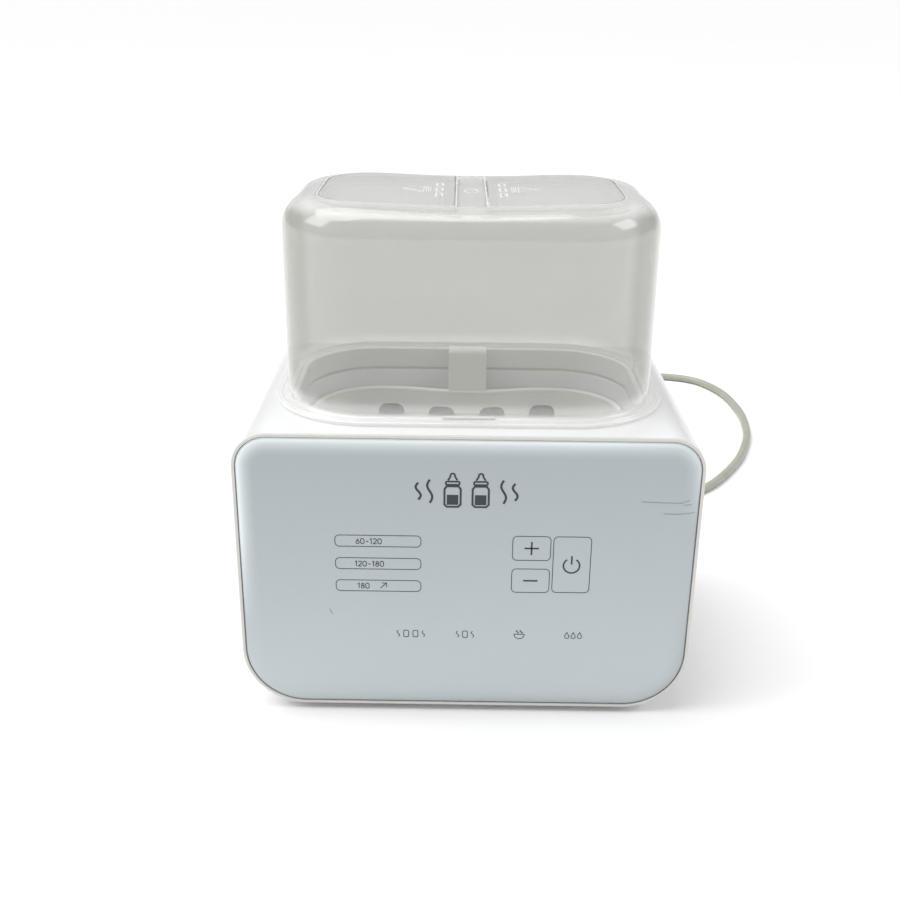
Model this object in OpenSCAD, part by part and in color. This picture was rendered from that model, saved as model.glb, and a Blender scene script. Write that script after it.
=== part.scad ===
// Countertop steam sterilizer and warmer for two feeding bottles.
// A moulded housing holds a water tank and its heater. A raised collar round the tank's mouth
// centres a tall translucent cover with two flip-up flaps, and a basket lifts out of the tank.
// Millimetres. X is the width, Y the depth with the front panel at -Y, Z up from the floor.

/* [Housing] */
// Width of the housing, side to side
body_w = 205; // [195:1:215]
// Depth, from the front panel's face to the back wall
body_d = 144; // [140:1:150]
// Height of the housing's top face above the floor
body_top = 138.4; // [136:0.2:142]
// Radius of the two top edges that run front to back
top_r = 15.5; // [12:0.5:20]
// Radius of the two bottom edges that run front to back
bottom_r = 29; // [24:1:30]
// Wall thickness of the housing
wall = 2.5; // [2:0.1:3]
// Height of the rubber feet
foot_h = 3; // [2:0.5:5]

/* [Front panel] */
// Thickness of the front panel
panel_t = 3; // [2:0.5:4]
// How far the panel's face stands in front of the housing's lip
panel_proud = 1; // [0.5:0.1:1.5]
// Width of the housing's lip round the panel
lip_w = 1.5; // [1:0.1:2.5]
// Gap between the lip and the panel
panel_gap = 0.3; // [0.2:0.1:0.6]

/* [Well] */
// Half the width of the well's mouth
well_hw = 79.2; // [74:0.2:80]
// Half the depth of the well's mouth
well_hd = 51.4; // [48:0.2:52]
// Corner radius of the well's mouth
well_r = 34.5; // [30:0.5:38]
// Thickness of the collar's wall
collar_t = 2.6; // [2.4:0.1:3]
// How far the collar stands above the housing's top
collar_h = 2; // [1.5:0.1:3]
// Thickness of the tank's wall and floor
tank_t = 1.5; // [1:0.1:2]
// Height of the tank's floor above the table
tank_floor = 40; // [38:1:44]

/* [Cover] */
// Height of the cover's roof above the floor
cover_top = 231.8; // [228:0.2:234]
// Thickness of the cover's wall
cover_t = 1.6; // [1.4:0.1:2]
// Radius of the cover's top edge
cover_r = 14; // [10:0.5:16]
// Width of the flange round the cover's foot
flange_w = 5.6; // [4:0.1:7]
// Thickness of that flange
flange_t = 2; 
/* [Flaps] */
// Distance of each flap's hinge axis from the middle
hinge_x = 7.3; // [7:0.1:8]
// Distance of each flap's inner edge from the middle
flap_x0 = 6.2; // [6:0.1:6.4]
// Distance of each flap's outer edge from the middle
flap_x1 = 68; // [64:0.5:70]
// Half the depth of a flap
flap_hd = 43.5; // [40:0.5:44]
// Thickness of a flap
flap_t = 2.4; // [2.2:0.1:2.6]
// Radius of a hinge pin
pin_r = 0.7; // [0.6:0.05:0.75]

/* [Basket] */
// Height of the basket's rim above the floor
basket_top = 120; // [114:0.5:122]
// Gap between the basket's lobes and the tank's wall
basket_gap = 1.4; // [1:0.1:3]
// How far the basket's waist is narrower on each side
basket_waist = 4.6; // [3:0.2:7]
// Width of the basket's strap handle
strap_w = 19.5; // [16:0.5:24]

/* [Cord] */
// Diameter of the mains cord
cord_d = 5.6; // [5.2:0.1:6]
// Sideways place of the cord's exit in the back wall
cord_x = 62; // [60:1:64]

/* [Hidden] */
$fn = 64;

front_y = -body_d / 2;
back_y = body_d / 2;
lip_y = front_y + panel_proud;
panel_back = front_y + panel_t;
ledge_t = 2;
ledge_w = 6;
base_z = foot_h;
base_in = foot_h + wall;
top_in = body_top - wall;
rim_z = body_top + collar_h;
seam_z = body_top - 8.4;
gasket_t = 1.2;
tank_top = seam_z - gasket_t;
clear = 0.2;
cut = 1;

white = [0.95, 0.95, 0.94];
panel_blue = [0.76, 0.81, 0.85];
milky = [0.80, 0.80, 0.77, 0.55];
steel = [0.72, 0.72, 0.73];
board_green = [0.10, 0.38, 0.22];
black = [0.10, 0.10, 0.11];
cord_beige = [0.80, 0.79, 0.74];

// Rounded rectangle about the origin with half sizes a and b
module round_rect(a, b, r) {
    square([2 * (a - r), 2 * b], center = true);
    square([2 * a, 2 * (b - r)], center = true);
    for (x = [-1, 1], y = [-1, 1])
        translate([x * (a - r), y * (b - r)]) circle(r);
}

// The well's mouth in plan, grown outwards by g
module well_outline(g) {
    round_rect(well_hw + g, well_hd + g, well_r + g);
}

// The ring between two growths of the well's mouth, from z0 to z1
module well_ring(g0, g1, z0, z1) {
    translate([0, 0, z0]) linear_extrude(z1 - z0) difference() {
        well_outline(g1);
        well_outline(g0);
    }
}

// The housing seen from the front, X across and Z up, shrunk by an inset
module front_outline(inset) {
    x1 = body_w / 2 - inset;
    z0 = base_z + inset;
    z1 = body_top - inset;
    rt = top_r - inset;
    rb = bottom_r - inset;
    polygon([[rb - x1, z0], [x1 - rb, z0], [x1, z0 + rb], [x1, z1 - rt],
             [x1 - rt, z1], [rt - x1, z1], [-x1, z1 - rt], [-x1, z0 + rb]]);
    for (s = [-1, 1]) {
        translate([s * (x1 - rb), z0 + rb]) circle(rb);
        translate([s * (x1 - rt), z1 - rt]) circle(rt);
    }
}

// Extrude a drawing of X and Z from y0 to y1
module along_y(y0, y1) {
    translate([0, y1, 0]) rotate([90, 0, 0]) linear_extrude(y1 - y0) children();
}

// A block given by its two corners
module block(low, high) {
    translate(low) cube(high - low);
}

// A rod along Y at x and z
module rod_y(x, z, r, y0, y1) {
    translate([x, y1, z]) rotate([90, 0, 0]) cylinder(r = r, h = y1 - y0);
}

// A rod along X at y and z
module rod_x(y, z, r, x0, x1) {
    translate([x0, y, z]) rotate([0, 90, 0]) cylinder(r = r, h = x1 - x0);
}

// A pan-head screw with its head's underside at z = 0 and its shank upwards
module screw_up(shank_r, shank_l, head_r, head_h) {
    translate([0, 0, -head_h]) cylinder(r = head_r, h = head_h);
    cylinder(r = shank_r, h = shank_l);
}

// ---- housing ----

base_hw = body_w / 2 - bottom_r - 0.7;
base_hd = 58;
base_screws = [for (x = [-42, 42], y = [-50, 50]) [x, y]];
foot_spots = [for (x = [-63, 63], y = [-48, 48]) [x, y]];
foot_r = 7;
base_screw_r = 1.5;
exit_z = 16;

module housing() {
    color(white) difference() {
        union() {
            difference() {
                along_y(lip_y, back_y) front_outline(0);
                along_y(lip_y - cut, panel_back) front_outline(lip_w);
                along_y(panel_back - cut, panel_back + ledge_t + cut) front_outline(ledge_w);
                along_y(panel_back + ledge_t, back_y - wall) front_outline(wall);
                translate([0, 0, top_in - cut]) linear_extrude(wall + 2 * cut)
                    well_outline(collar_t + clear);
                block([-base_hw - clear, -base_hd - clear, base_z - cut],
                      [base_hw + clear, base_hd + clear, base_in + cut]);
            }
            for (p = base_screws) {
                translate([p[0], p[1], base_in]) cylinder(r = 4, h = 12);
                block([p[0] - 1.2, p[1] > 0 ? p[1] : panel_back + ledge_t, base_in],
                      [p[0] + 1.2, p[1] > 0 ? back_y - wall : p[1], base_in + 8]);
            }
        }
        for (p = base_screws)
            translate([p[0], p[1], base_in - cut]) cylinder(r = base_screw_r, h = 10);
        rod_y(cord_x, exit_z, 4.6, back_y - wall - cut, back_y + cut);
    }
}

module front_panel() {
    color(panel_blue) {
        along_y(front_y, panel_back) front_outline(lip_w + panel_gap);
        for (p = display_posts) rod_y(p[0], p[1], 3, panel_back, display_y);
    }
}

module bottom_plate() {
    color(white) difference() {
        union() {
            block([-base_hw, -base_hd, base_z], [base_hw, base_hd, base_in]);
            for (p = board_posts)
                translate([p[0], p[1], base_in]) cylinder(r = 3, h = board_z - base_in);
            for (s = [-1, 1])
                translate([cord_x + s * clamp_dx, clamp_y, base_in])
                    cylinder(r = 3, h = exit_z - base_in);
        }
        for (p = base_screws) translate([p[0], p[1], base_z - cut]) {
            cylinder(r = base_screw_r + clear, h = 6);
            cylinder(r = 3.2, h = cut + 1.2);
        }
        for (p = foot_spots)
            translate([p[0], p[1], base_z - cut]) cylinder(r = 2.5, h = 6);
        for (x = [-40:8:40])
            block([x - 1.5, -28, base_z - cut], [x + 1.5, 28, base_in + cut]);
        for (p = board_posts)
            translate([p[0], p[1], base_in + 1]) cylinder(r = 1.2, h = board_z);
        for (s = [-1, 1])
            translate([cord_x + s * clamp_dx, clamp_y, base_in + 1]) cylinder(r = 1.2, h = exit_z);
    }
}

module bottom_screws() {
    color(steel) for (p = base_screws)
        translate([p[0], p[1], base_z + 1.2]) screw_up(base_screw_r, 9, 2.9, 1.1);
}

module rubber_feet() {
    color([0.82, 0.82, 0.80]) for (p = foot_spots) translate([p[0], p[1], 0]) {
        cylinder(r = foot_r, h = foot_h);
        cylinder(r = 2.5, h = base_in + 0.6);
        translate([0, 0, base_in]) cylinder(r = 3.4, h = 1.2);
    }
}

// ---- well ----

flange_g = 9;
tank_screw_spots = [[-40, -57], [40, -57], [-40, 57], [40, 57], [-84.8, 0], [84.8, 0]];

module well_collar() {
    color(white) difference() {
        union() {
            well_ring(0, collar_t, seam_z, rim_z);
            well_ring(collar_t - 0.5, flange_g, top_in - 2.5, top_in);
            for (p = tank_screw_spots)
                translate([p[0], p[1], tank_top]) cylinder(r = 3.2, h = top_in - tank_top);
        }
        for (p = tank_screw_spots)
            translate([p[0], p[1], tank_top - cut]) cylinder(r = 1.3, h = 6.5);
        translate([0, 0, tank_top - cut]) linear_extrude(seam_z - tank_top + cut)
            well_outline(collar_t - 0.4);
        translate([0, 0, tank_top - cut]) linear_extrude(rim_z) well_outline(0);
    }
}

module tank_gasket() {
    color([0.78, 0.78, 0.76]) well_ring(0.2, collar_t - 0.4, tank_top, seam_z);
}

module water_tank() {
    color([0.78, 0.78, 0.78]) difference() {
        union() {
            translate([0, 0, tank_floor - tank_t]) linear_extrude(tank_top - tank_floor + tank_t)
                well_outline(tank_t);
            translate([0, 0, tank_top - tank_t]) linear_extrude(tank_t) well_outline(flange_g);
        }
        translate([0, 0, tank_floor]) linear_extrude(tank_top) well_outline(0);
        for (p = tank_screw_spots)
            translate([p[0], p[1], tank_top - 4]) cylinder(r = 1.6, h = 6);
    }
}

module tank_screws() {
    color(steel) for (p = tank_screw_spots)
        translate([p[0], p[1], tank_top - tank_t]) screw_up(1.3, 6.5, 2.6, 1.8);
}

// ---- heater ----

plate_t = 5.5;
plate_z = tank_floor - tank_t - plate_t;
tube_r = 3.2;
tube_z = plate_z - 0.6;
tube_y = 20;
tube_x0 = -48;
tube_x1 = 32;
clamp_xs = [-34, -4, 26];
strap_t = 1.2;
strap_z = tube_z - tube_r - strap_t;
clamp_screw_y = 29;
tube_end = 3;
tube_pin = 6;
plate_hw = 64;
plate_hd = 37;

// The U-shaped heating tube, with radius r
module heater_u(r) {
    for (s = [-1, 1]) rod_x(s * tube_y, tube_z, r, tube_x0, tube_x1);
    translate([tube_x1, 0, tube_z]) rotate([0, 0, -90])
        rotate_extrude(angle = 180) translate([tube_y, 0]) circle(r);
}

module heating_plate() {
    color([0.75, 0.76, 0.77]) difference() {
        translate([0, 0, plate_z]) linear_extrude(plate_t) round_rect(plate_hw, plate_hd, 20);
        heater_u(tube_r + 0.05);
        for (s = [-1, 1]) rod_x(s * tube_y, tube_z, tube_r + 0.4, -plate_hw - cut, tube_x0);
        for (x = clamp_xs, s = [-1, 1])
            translate([x, s * clamp_screw_y, plate_z - cut]) cylinder(r = 1.5, h = 5);
    }
}

module heating_tube() {
    color([0.45, 0.43, 0.42]) {
        heater_u(tube_r);
        for (s = [-1, 1]) {
            rod_x(s * tube_y, tube_z, 2.4, tube_x0 - tube_end, tube_x0);
            rod_x(s * tube_y, tube_z, 1, tube_x0 - tube_end - tube_pin, tube_x0 - tube_end);
        }
    }
}

module heater_clamps() {
    color(steel) for (x = clamp_xs) difference() {
        union() {
            block([x - 6, -33, strap_z], [x + 6, 33, strap_z + strap_t]);
            for (s = [-1, 1])
                block([x - 6, s * clamp_screw_y - 4, strap_z], [x + 6, s * clamp_screw_y + 4, plate_z]);
        }
        for (s = [-1, 1]) translate([x, s * clamp_screw_y, strap_z - cut]) cylinder(r = 1.5, h = 8);
    }
}

module heater_screws() {
    color(steel) for (x = clamp_xs, s = [-1, 1])
        translate([x, s * clamp_screw_y, strap_z]) screw_up(1.5, 8, 2.8, 1.6);
}

sensor_x = 11;
thermostat_x = -19;
thermal_fuse_x = 36;

module temperature_sensor() {
    color([0.80, 0.66, 0.35]) {
        translate([sensor_x, 0, plate_z - 4]) cylinder(r = 2.4, h = 4);
        translate([sensor_x, 0, plate_z - 5]) cylinder(r = 1.4, h = 1);
    }
}

module thermostat() {
    color(black) translate([thermostat_x, 0, 0]) {
        translate([0, 0, plate_z - 1.5]) cylinder(r = 8, h = 1.5);
        translate([0, 0, plate_z - 5]) cylinder(r = 7, h = 3.5);
        for (s = [-1, 1]) block([s * 4 - 0.4, -3, plate_z - 7], [s * 4 + 0.4, 3, plate_z - 5]);
    }
}

module thermal_fuse() {
    color([0.85, 0.82, 0.74]) {
        rod_y(thermal_fuse_x, plate_z - 2.2, 2.2, -8, 8);
        rod_y(thermal_fuse_x, plate_z - 2.2, 0.5, -14, 14);
    }
}

// ---- main board ----

board_t = 1.6;
board_z = 10;
board_top = board_z + board_t;
board_x0 = -60;
board_x1 = 44;
board_y0 = -38;
board_y1 = 38;
board_posts = [for (x = [board_x0 + 5, board_x1 - 5], y = [board_y0 + 5, board_y1 - 5]) [x, y]];

module main_board() {
    color(board_green) difference() {
        block([board_x0, board_y0, board_z], [board_x1, board_y1, board_top]);
        for (p = board_posts) translate([p[0], p[1], board_z - cut]) cylinder(r = 1.5, h = 4);
    }
}

module board_screws() {
    color(steel) for (p = board_posts) translate([p[0], p[1], board_top]) mirror([0, 0, 1])
        screw_up(1.2, 5, 2.6, 1.6);
}

module transformer() {
    color([0.86, 0.74, 0.28]) {
        block([-46, -6, board_top], [-26, 12, board_top + 3]);
        block([-44, -4, board_top + 3], [-28, 10, board_top + 11]);
        block([-46, -1, board_top + 3], [-26, 7, board_top + 13]);
    }
}

module capacitors() {
    color([0.15, 0.18, 0.30]) for (c = [[-16, 24, 5, 13], [-16, 10, 4, 11], [-6, 24, 3.2, 9]])
        translate([c[0], c[1], board_top]) cylinder(r = c[2], h = c[3]);
}

module relay() {
    color([0.16, 0.35, 0.62]) block([8, 4, board_top], [27, 20, board_top + 14]);
}

terminal_x = 26;

module terminal_block() {
    color([0.20, 0.55, 0.30]) difference() {
        block([terminal_x - 7, 24, board_top], [terminal_x + 7, 33, board_top + 9]);
        for (x = [terminal_x - 3.5, terminal_x + 3.5]) {
            translate([x, 28.5, board_top + 4]) cylinder(r = 1.8, h = 6);
            rod_y(x, board_top + 3.5, 1.4, 29, 35);
        }
    }
}

module mains_fuse() {
    color([0.75, 0.76, 0.72]) {
        rod_y(3, board_top + 3.2, 2.6, 8, 28);
        for (y = [9, 24]) block([0.8, y, board_top], [5.2, y + 2.5, board_top + 1.5]);
    }
}

module control_chip() {
    color(black) {
        block([-8, -22, board_top], [4, -15, board_top + 1.6]);
        for (x = [-7:2:3], y = [-23, -15])
            block([x - 0.4, y, board_top], [x + 0.4, y + 1, board_top + 0.6]);
    }
}

module buzzer() {
    color(black) difference() {
        translate([20, -22, board_top]) cylinder(r = 6, h = 8);
        translate([20, -22, board_top + 5]) cylinder(r = 1.2, h = 4);
    }
}

// ---- display board behind the front panel ----

display_y = panel_back + 7;
display_t = 1.6;
display_x0 = -67;
display_x1 = 67;
display_z0 = 34;
display_z1 = 100;
display_posts = [for (x = [-63, 63], z = [39, 95]) [x, z]];
key_spots = [[28.6, 86], [28.6, 70], [46.8, 78.2]];
pill_zs = [88.7, 77.6, 66.5];
mode_xs = [-24.9, -0.2, 24.5, 49.1];
mode_z = 45;
digit_x = 0.5;
digit_z = 77.6;

module display_board() {
    color(board_green) difference() {
        block([display_x0, display_y, display_z0], [display_x1, display_y + display_t, display_z1]);
        for (p = display_posts) rod_y(p[0], p[1], 1.5, display_y - cut, display_y + 4);
    }
}

module display_screws() {
    color(steel) for (p = display_posts)
        rod_y(p[0], p[1], 2.6, display_y + display_t, display_y + display_t + 1.8);
}

module digit_display() {
    color(black)
        block([digit_x - 15, display_y - 5.5, digit_z - 9], [digit_x + 15, display_y, digit_z + 9]);
}

module indicator_leds() {
    color([0.95, 0.93, 0.80]) {
        for (z = pill_zs) block([-41, display_y - 1.2, z - 1], [-38, display_y, z + 1]);
        for (x = mode_xs) block([x - 1.5, display_y - 1.2, mode_z - 1], [x + 1.5, display_y, mode_z + 1]);
    }
}

// Black frame that keeps each lamp's light in its own window
module light_guide() {
    color(black) difference() {
        block([-59.5, panel_back, 40], [18, display_y, 94]);
        for (z = pill_zs)
            block([-57.5, panel_back - cut, z - 3.5], [-21, display_y + cut, z + 3.5]);
        for (x = [mode_xs[0], mode_xs[1]])
            block([x - 7, panel_back - cut, mode_z - 4], [x + 7, display_y + cut, mode_z + 4]);
        block([digit_x - 15.4, panel_back - cut, digit_z - 9.4],
              [digit_x + 15.4, display_y + cut, digit_z + 9.4]);
    }
}

module touch_springs() {
    color([0.78, 0.66, 0.35]) for (p = key_spots) {
        difference() {
            rod_y(p[0], p[1], 4, panel_back, panel_back + 0.8);
            rod_y(p[0], p[1], 2.6, panel_back - cut, panel_back + 2);
        }
        for (k = [0:3]) translate([p[0], panel_back + 1.4 + 1.3 * k, p[1]]) rotate([90, 0, 0])
            rotate_extrude() translate([4 - 0.3 * k, 0]) circle(0.75);
        rod_y(p[0], p[1] + 3.1, 0.6, panel_back + 5, display_y);
    }
}

// ---- wiring ----

module display_ribbon() {
    color([0.82, 0.82, 0.80]) {
        ribbon_y = display_y + display_t;
        block([-8, ribbon_y, 36], [8, ribbon_y + 3, 42]);
        block([-6, ribbon_y + 1, 20], [6, ribbon_y + 1.8, 36]);
        block([-6, ribbon_y + 1, 19.2], [6, -33, 20]);
        block([-6, -33.8, board_top], [6, -33, 19.2]);
    }
}

lead_x = tube_x0 - tube_end - 4;

module heater_leads() {
    color([0.75, 0.16, 0.14]) for (s = [-1, 1]) {
        translate([lead_x, s * tube_y, board_top]) cylinder(r = 1.3, h = tube_z - 2 - board_top);
        difference() {
            translate([lead_x, s * tube_y, tube_z - 2]) cylinder(r = 2.2, h = 4);
            rod_x(s * tube_y, tube_z, 1, lead_x - tube_pin, tube_x0);
        }
    }
}

module sensor_leads() {
    color([0.88, 0.88, 0.86]) for (s = [-1, 1])
        translate([sensor_x + s * 0.7, 0, board_top]) cylinder(r = 0.6, h = plate_z - 5 - board_top);
}

clamp_y = 52;
clamp_dx = 7.5;

module mains_leads() {
    color([0.20, 0.32, 0.62]) for (s = [-1, 1]) {
        x1 = terminal_x + s * 3.5;
        y1 = 40 - s * 2;
        rod_y(cord_x + s * 1.3, exit_z, 1.1, y1, 46);
        rod_x(y1, exit_z, 1.1, x1, cord_x + s * 1.3);
        rod_y(x1, exit_z, 1.1, 33, y1);
    }
}

module inner_cord() {
    color(cord_beige) rod_y(cord_x, exit_z, cord_d / 2, 46, relief_in);
}

module cord_clamp() {
    color(white) difference() {
        block([cord_x - clamp_dx - 3, clamp_y - 3, exit_z],
              [cord_x + clamp_dx + 3, clamp_y + 3, exit_z + 5]);
        rod_y(cord_x, exit_z, cord_d / 2, clamp_y - 4, clamp_y + 4);
        for (s = [-1, 1])
            translate([cord_x + s * clamp_dx, clamp_y, exit_z - cut]) cylinder(r = 1.4, h = 8);
    }
}

module clamp_screws() {
    color(steel) for (s = [-1, 1])
        translate([cord_x + s * clamp_dx, clamp_y, exit_z + 5]) mirror([0, 0, 1])
            screw_up(1.2, 11, 2.6, 1.6);
}

// ---- cord and plug ----

relief_in = back_y - wall - 2;
relief_out = back_y + 26;
coil_at = [10, 200];
coil_r = 30;
coil_half = cord_d;
coil_h = 2 * cord_d - 0.7;
plug_x = coil_at[0] - coil_r;
plug_y = 156;
plug_tail = 18;
plug_body = 28;
plug_axis_z = 7.5;
lay_z = cord_d / 2;

module strain_relief() {
    color(cord_beige) {
        rod_y(cord_x, exit_z, 6.5, relief_in, back_y - wall);
        rod_y(cord_x, exit_z, 4.6, back_y - wall, back_y);
        rod_y(cord_x, exit_z, 6.5, back_y, back_y + 2.5);
        translate([cord_x, relief_out, exit_z]) rotate([90, 0, 0])
            cylinder(r1 = 3.4, r2 = 5, h = relief_out - back_y - 2.5, $fn = 48);
    }
}

// Out of the relief, down to the table, round the visible loop and in behind the housing
route = [
    [cord_x, relief_out, 16], [62, 108, 14.6], [63, 119, 11], [67, 131, 6.8], [74, 142, 3.8],
    [84, 151, lay_z], [97, 158, lay_z], [111, 163, lay_z], [126, 167, lay_z], [140, 172, lay_z],
    [154, 179, lay_z], [166, 189, lay_z], [177, 203, lay_z], [189, 222, lay_z], [200, 243, lay_z],
    [209, 266, lay_z], [216, 289, lay_z], [220, 313, lay_z], [222, 337, lay_z], [221, 361, lay_z],
    [218, 383, lay_z], [211, 403, lay_z], [201, 418, lay_z], [187, 426, lay_z], [172, 429, lay_z],
    [156, 428, lay_z], [141, 423, lay_z], [127, 413, lay_z], [115, 399, lay_z], [105, 382, lay_z],
    [96, 363, lay_z], [88, 343, lay_z], [80, 323, lay_z], [71, 303, lay_z], [60, 283, lay_z],
    [48, 264, lay_z], [36, 249, lay_z], [23, 238, lay_z], [10, 233, lay_z]
];
// Off the coil's top turn to the plug
tail = [
    [plug_x, 200, 7.7], [plug_x, 190, 7.6], [plug_x, 178, 7.5], [plug_x, 166, 7.5],
    [plug_x, plug_y, plug_axis_z]
];

// A tube of n sides swept along the points of a path
module tube(path, r, n) {
    last = len(path) - 1;
    function unit(v) = v / norm(v);
    function ahead(i) = unit(path[min(i + 1, last)] - path[max(i - 1, 0)]);
    function side(i) = unit(cross(ahead(i), [0, 0, 1]));
    rings = [for (i = [0:last]) let (s = side(i), u = cross(s, ahead(i)))
        for (k = [0:n - 1]) path[i] + r * (cos(360 * k / n) * s + sin(360 * k / n) * u)];
    sides = [for (i = [0:last - 1], k = [0:n - 1]) let (a = i * n + k, b = i * n + (k + 1) % n)
        each [[a, b, b + n], [a, b + n, a + n]]];
    polyhedron(rings, concat([[for (k = [n - 1:-1:0]) k]], sides, [[for (k = [0:n - 1]) last * n + k]]));
}

module power_cord() {
    color(cord_beige) {
        tube(route, cord_d / 2, 8);
        tube(tail, cord_d / 2, 8);
    }
}

module cord_coil() {
    color(cord_beige) translate([coil_at[0], coil_at[1], 0]) rotate_extrude()
        polygon([[coil_r - coil_half, 0], [coil_r + coil_half, 0], [coil_r + coil_half, cord_d],
                 [coil_r + 3, coil_h], [coil_r - 3, coil_h], [coil_r - coil_half, cord_d]]);
}

module mains_plug() {
    color(cord_beige) {
        translate([plug_x, plug_y, plug_axis_z]) rotate([90, 0, 0])
            cylinder(r1 = 3.4, r2 = 5, h = plug_tail, $fn = 48);
        translate([plug_x, plug_y - plug_tail, plug_axis_z]) rotate([90, 0, 0])
            linear_extrude(plug_body) round_rect(12.5, 7.5, 5);
    }
}

module plug_blades() {
    color([0.83, 0.74, 0.52]) for (s = [-1, 1])
        block([plug_x + s * 6.35 - 0.75, plug_y - plug_tail - plug_body - 17, plug_axis_z - 3.15],
              [plug_x + s * 6.35 + 0.75, plug_y - plug_tail - plug_body, plug_axis_z + 3.15]);
}

// ---- basket ----

basket_hw = well_hw - basket_gap;
basket_hd = well_hd - basket_gap;
basket_r = well_r - basket_gap;
basket_t = 1.8;
basket_z = tank_floor + 5;
strap_top = rim_z + 2.4;
window_w = 13.7;
window_xs = [-40, -13.3, 13.3, 40];
window_z0 = basket_z + 14;
window_z1 = 110.5;
window_r = 4.5;

// Two round-cornered lobes joined by a narrower waist, shrunk by an inset
module basket_outline(inset) {
    a = basket_hw - inset;
    b = basket_hd - inset;
    r = basket_r - inset;
    lobe = 35;
    square([2 * lobe, 2 * (b - basket_waist)], center = true);
    for (s = [0, 1]) mirror([s, 0]) {
        translate([a - r, 0]) square([2 * r, 2 * (b - r)], center = true);
        translate([(lobe - 8 + a - r) / 2, 0]) square([a - r - lobe + 8, 2 * b], center = true);
        for (y = [-1, 1]) translate([a - r, y * (b - r)]) circle(r);
        for (y = [-1, 1]) translate([lobe - 8, y * (b - 16)]) circle(16);
        translate([lobe - 8, 0]) square([32, 2 * (b - 16)], center = true);
    }
}

// A window with rounded upper corners, cut right through along Y
module window(x, z0, z1, w, y0, y1) {
    block([x - w / 2, y0, z0], [x + w / 2, y1, z1 - window_r]);
    block([x - w / 2 + window_r, y0, z0], [x + w / 2 - window_r, y1, z1]);
    for (s = [-1, 1]) rod_y(x + s * (w / 2 - window_r), z1 - window_r, window_r, y0, y1);
}

module basket() {
    color([0.80, 0.80, 0.77]) difference() {
        union() {
            translate([0, 0, basket_z]) linear_extrude(basket_top - basket_z) basket_outline(0);
            block([-strap_w / 2, basket_hd - basket_waist - 2.6, basket_top - 6],
                  [strap_w / 2, basket_hd - basket_waist, strap_top]);
            rod_x(basket_hd - basket_waist - 1.6, strap_top - 1.6, 1.6, -strap_w / 2, strap_w / 2);
            for (x = [-45, 45], y = [-28, 28])
                translate([x, y, tank_floor + 0.4]) cylinder(r = 4, h = 6);
        }
        difference() {
            translate([0, 0, basket_z + 2]) linear_extrude(basket_top) basket_outline(basket_t);
            block([-strap_w / 2, basket_hd - basket_waist - 2.6, basket_z],
                  [strap_w / 2, basket_hd, strap_top + cut]);
        }
        for (x = window_xs) window(x, window_z0, window_z1, window_w, -well_hd, well_hd);
        for (x = [-56:14:56], y = [-28, -14, 0, 14, 28])
            translate([x, y, basket_z - cut]) cylinder(r = 3.4, h = 4);
    }
}

// ---- cover and its flaps ----

wall_g = collar_t + 0.4 + cover_t;
cover_z0 = body_top + 0.3;
axis_z = cover_top - 1.6;
flap_z0 = axis_z - 0.9;
recess_z = flap_z0 - 0.3;
recess_x0 = 5.1;
recess_gap = 0.4;
tray_t = 1.8;
tray_z = recess_z - tray_t;
opening_x0 = 12;
opening_x1 = 63;
opening_hd = 38;
lug_y1 = flap_hd + 3.4;
pin_y1 = flap_hd + 1.6;
pin_play = 0.06;

// A quarter of a disc, in the first quadrant
module quarter(r) {
    intersection() {
        circle(r);
        square(r);
    }
}

// A round-cornered box with a rounded top edge, grown by g from the well's mouth
module capped_box(g, z0, z1, r) {
    a = well_hw + g;
    b = well_hd + g;
    rc = well_r + g;
    translate([0, 0, z0]) linear_extrude(z1 - r - z0) well_outline(g);
    translate([0, 0, z1 - r]) {
        linear_extrude(r) round_rect(a - r, b - r, rc - r);
        for (k = [0:3]) translate([(k == 0 || k == 3 ? 1 : -1) * (a - rc), (k < 2 ? 1 : -1) * (b - rc), 0])
            rotate([0, 0, 90 * k]) rotate_extrude(angle = 90) translate([rc - r, 0]) quarter(r);
        for (s = [0, 1]) {
            mirror([0, s, 0]) translate([rc - a, b - r, 0]) rotate([90, 0, 90])
                linear_extrude(2 * (a - rc)) quarter(r);
            mirror([s, 0, 0]) translate([a - r, b - rc, 0]) rotate([90, 0, 0])
                linear_extrude(2 * (b - rc)) quarter(r);
        }
    }
}

// A flap's recess in plan, grown outwards by g
module recess_outline(g) {
    flap_outline(-recess_gap - g);
    translate([recess_x0 - g, -flap_hd - recess_gap - g])
        square([hinge_x, 2 * (flap_hd + recess_gap + g)]);
}

// The trays that the flaps lie in, and the blocks that hold their hinge pins
module trays() {
    intersection() {
        capped_box(wall_g, cover_z0, cover_top, cover_r);
        union() {
            for (s = [0, 1]) mirror([s, 0, 0]) translate([0, 0, tray_z])
                linear_extrude(cover_top) recess_outline(tray_t);
            block([-recess_x0, -flap_hd, tray_z], [recess_x0, flap_hd, cover_top]);
            for (x = [-1, 1])
                block([x * hinge_x - 3.4, -lug_y1, tray_z], [x * hinge_x + 3.4, lug_y1, cover_top]);
        }
    }
}

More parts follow.
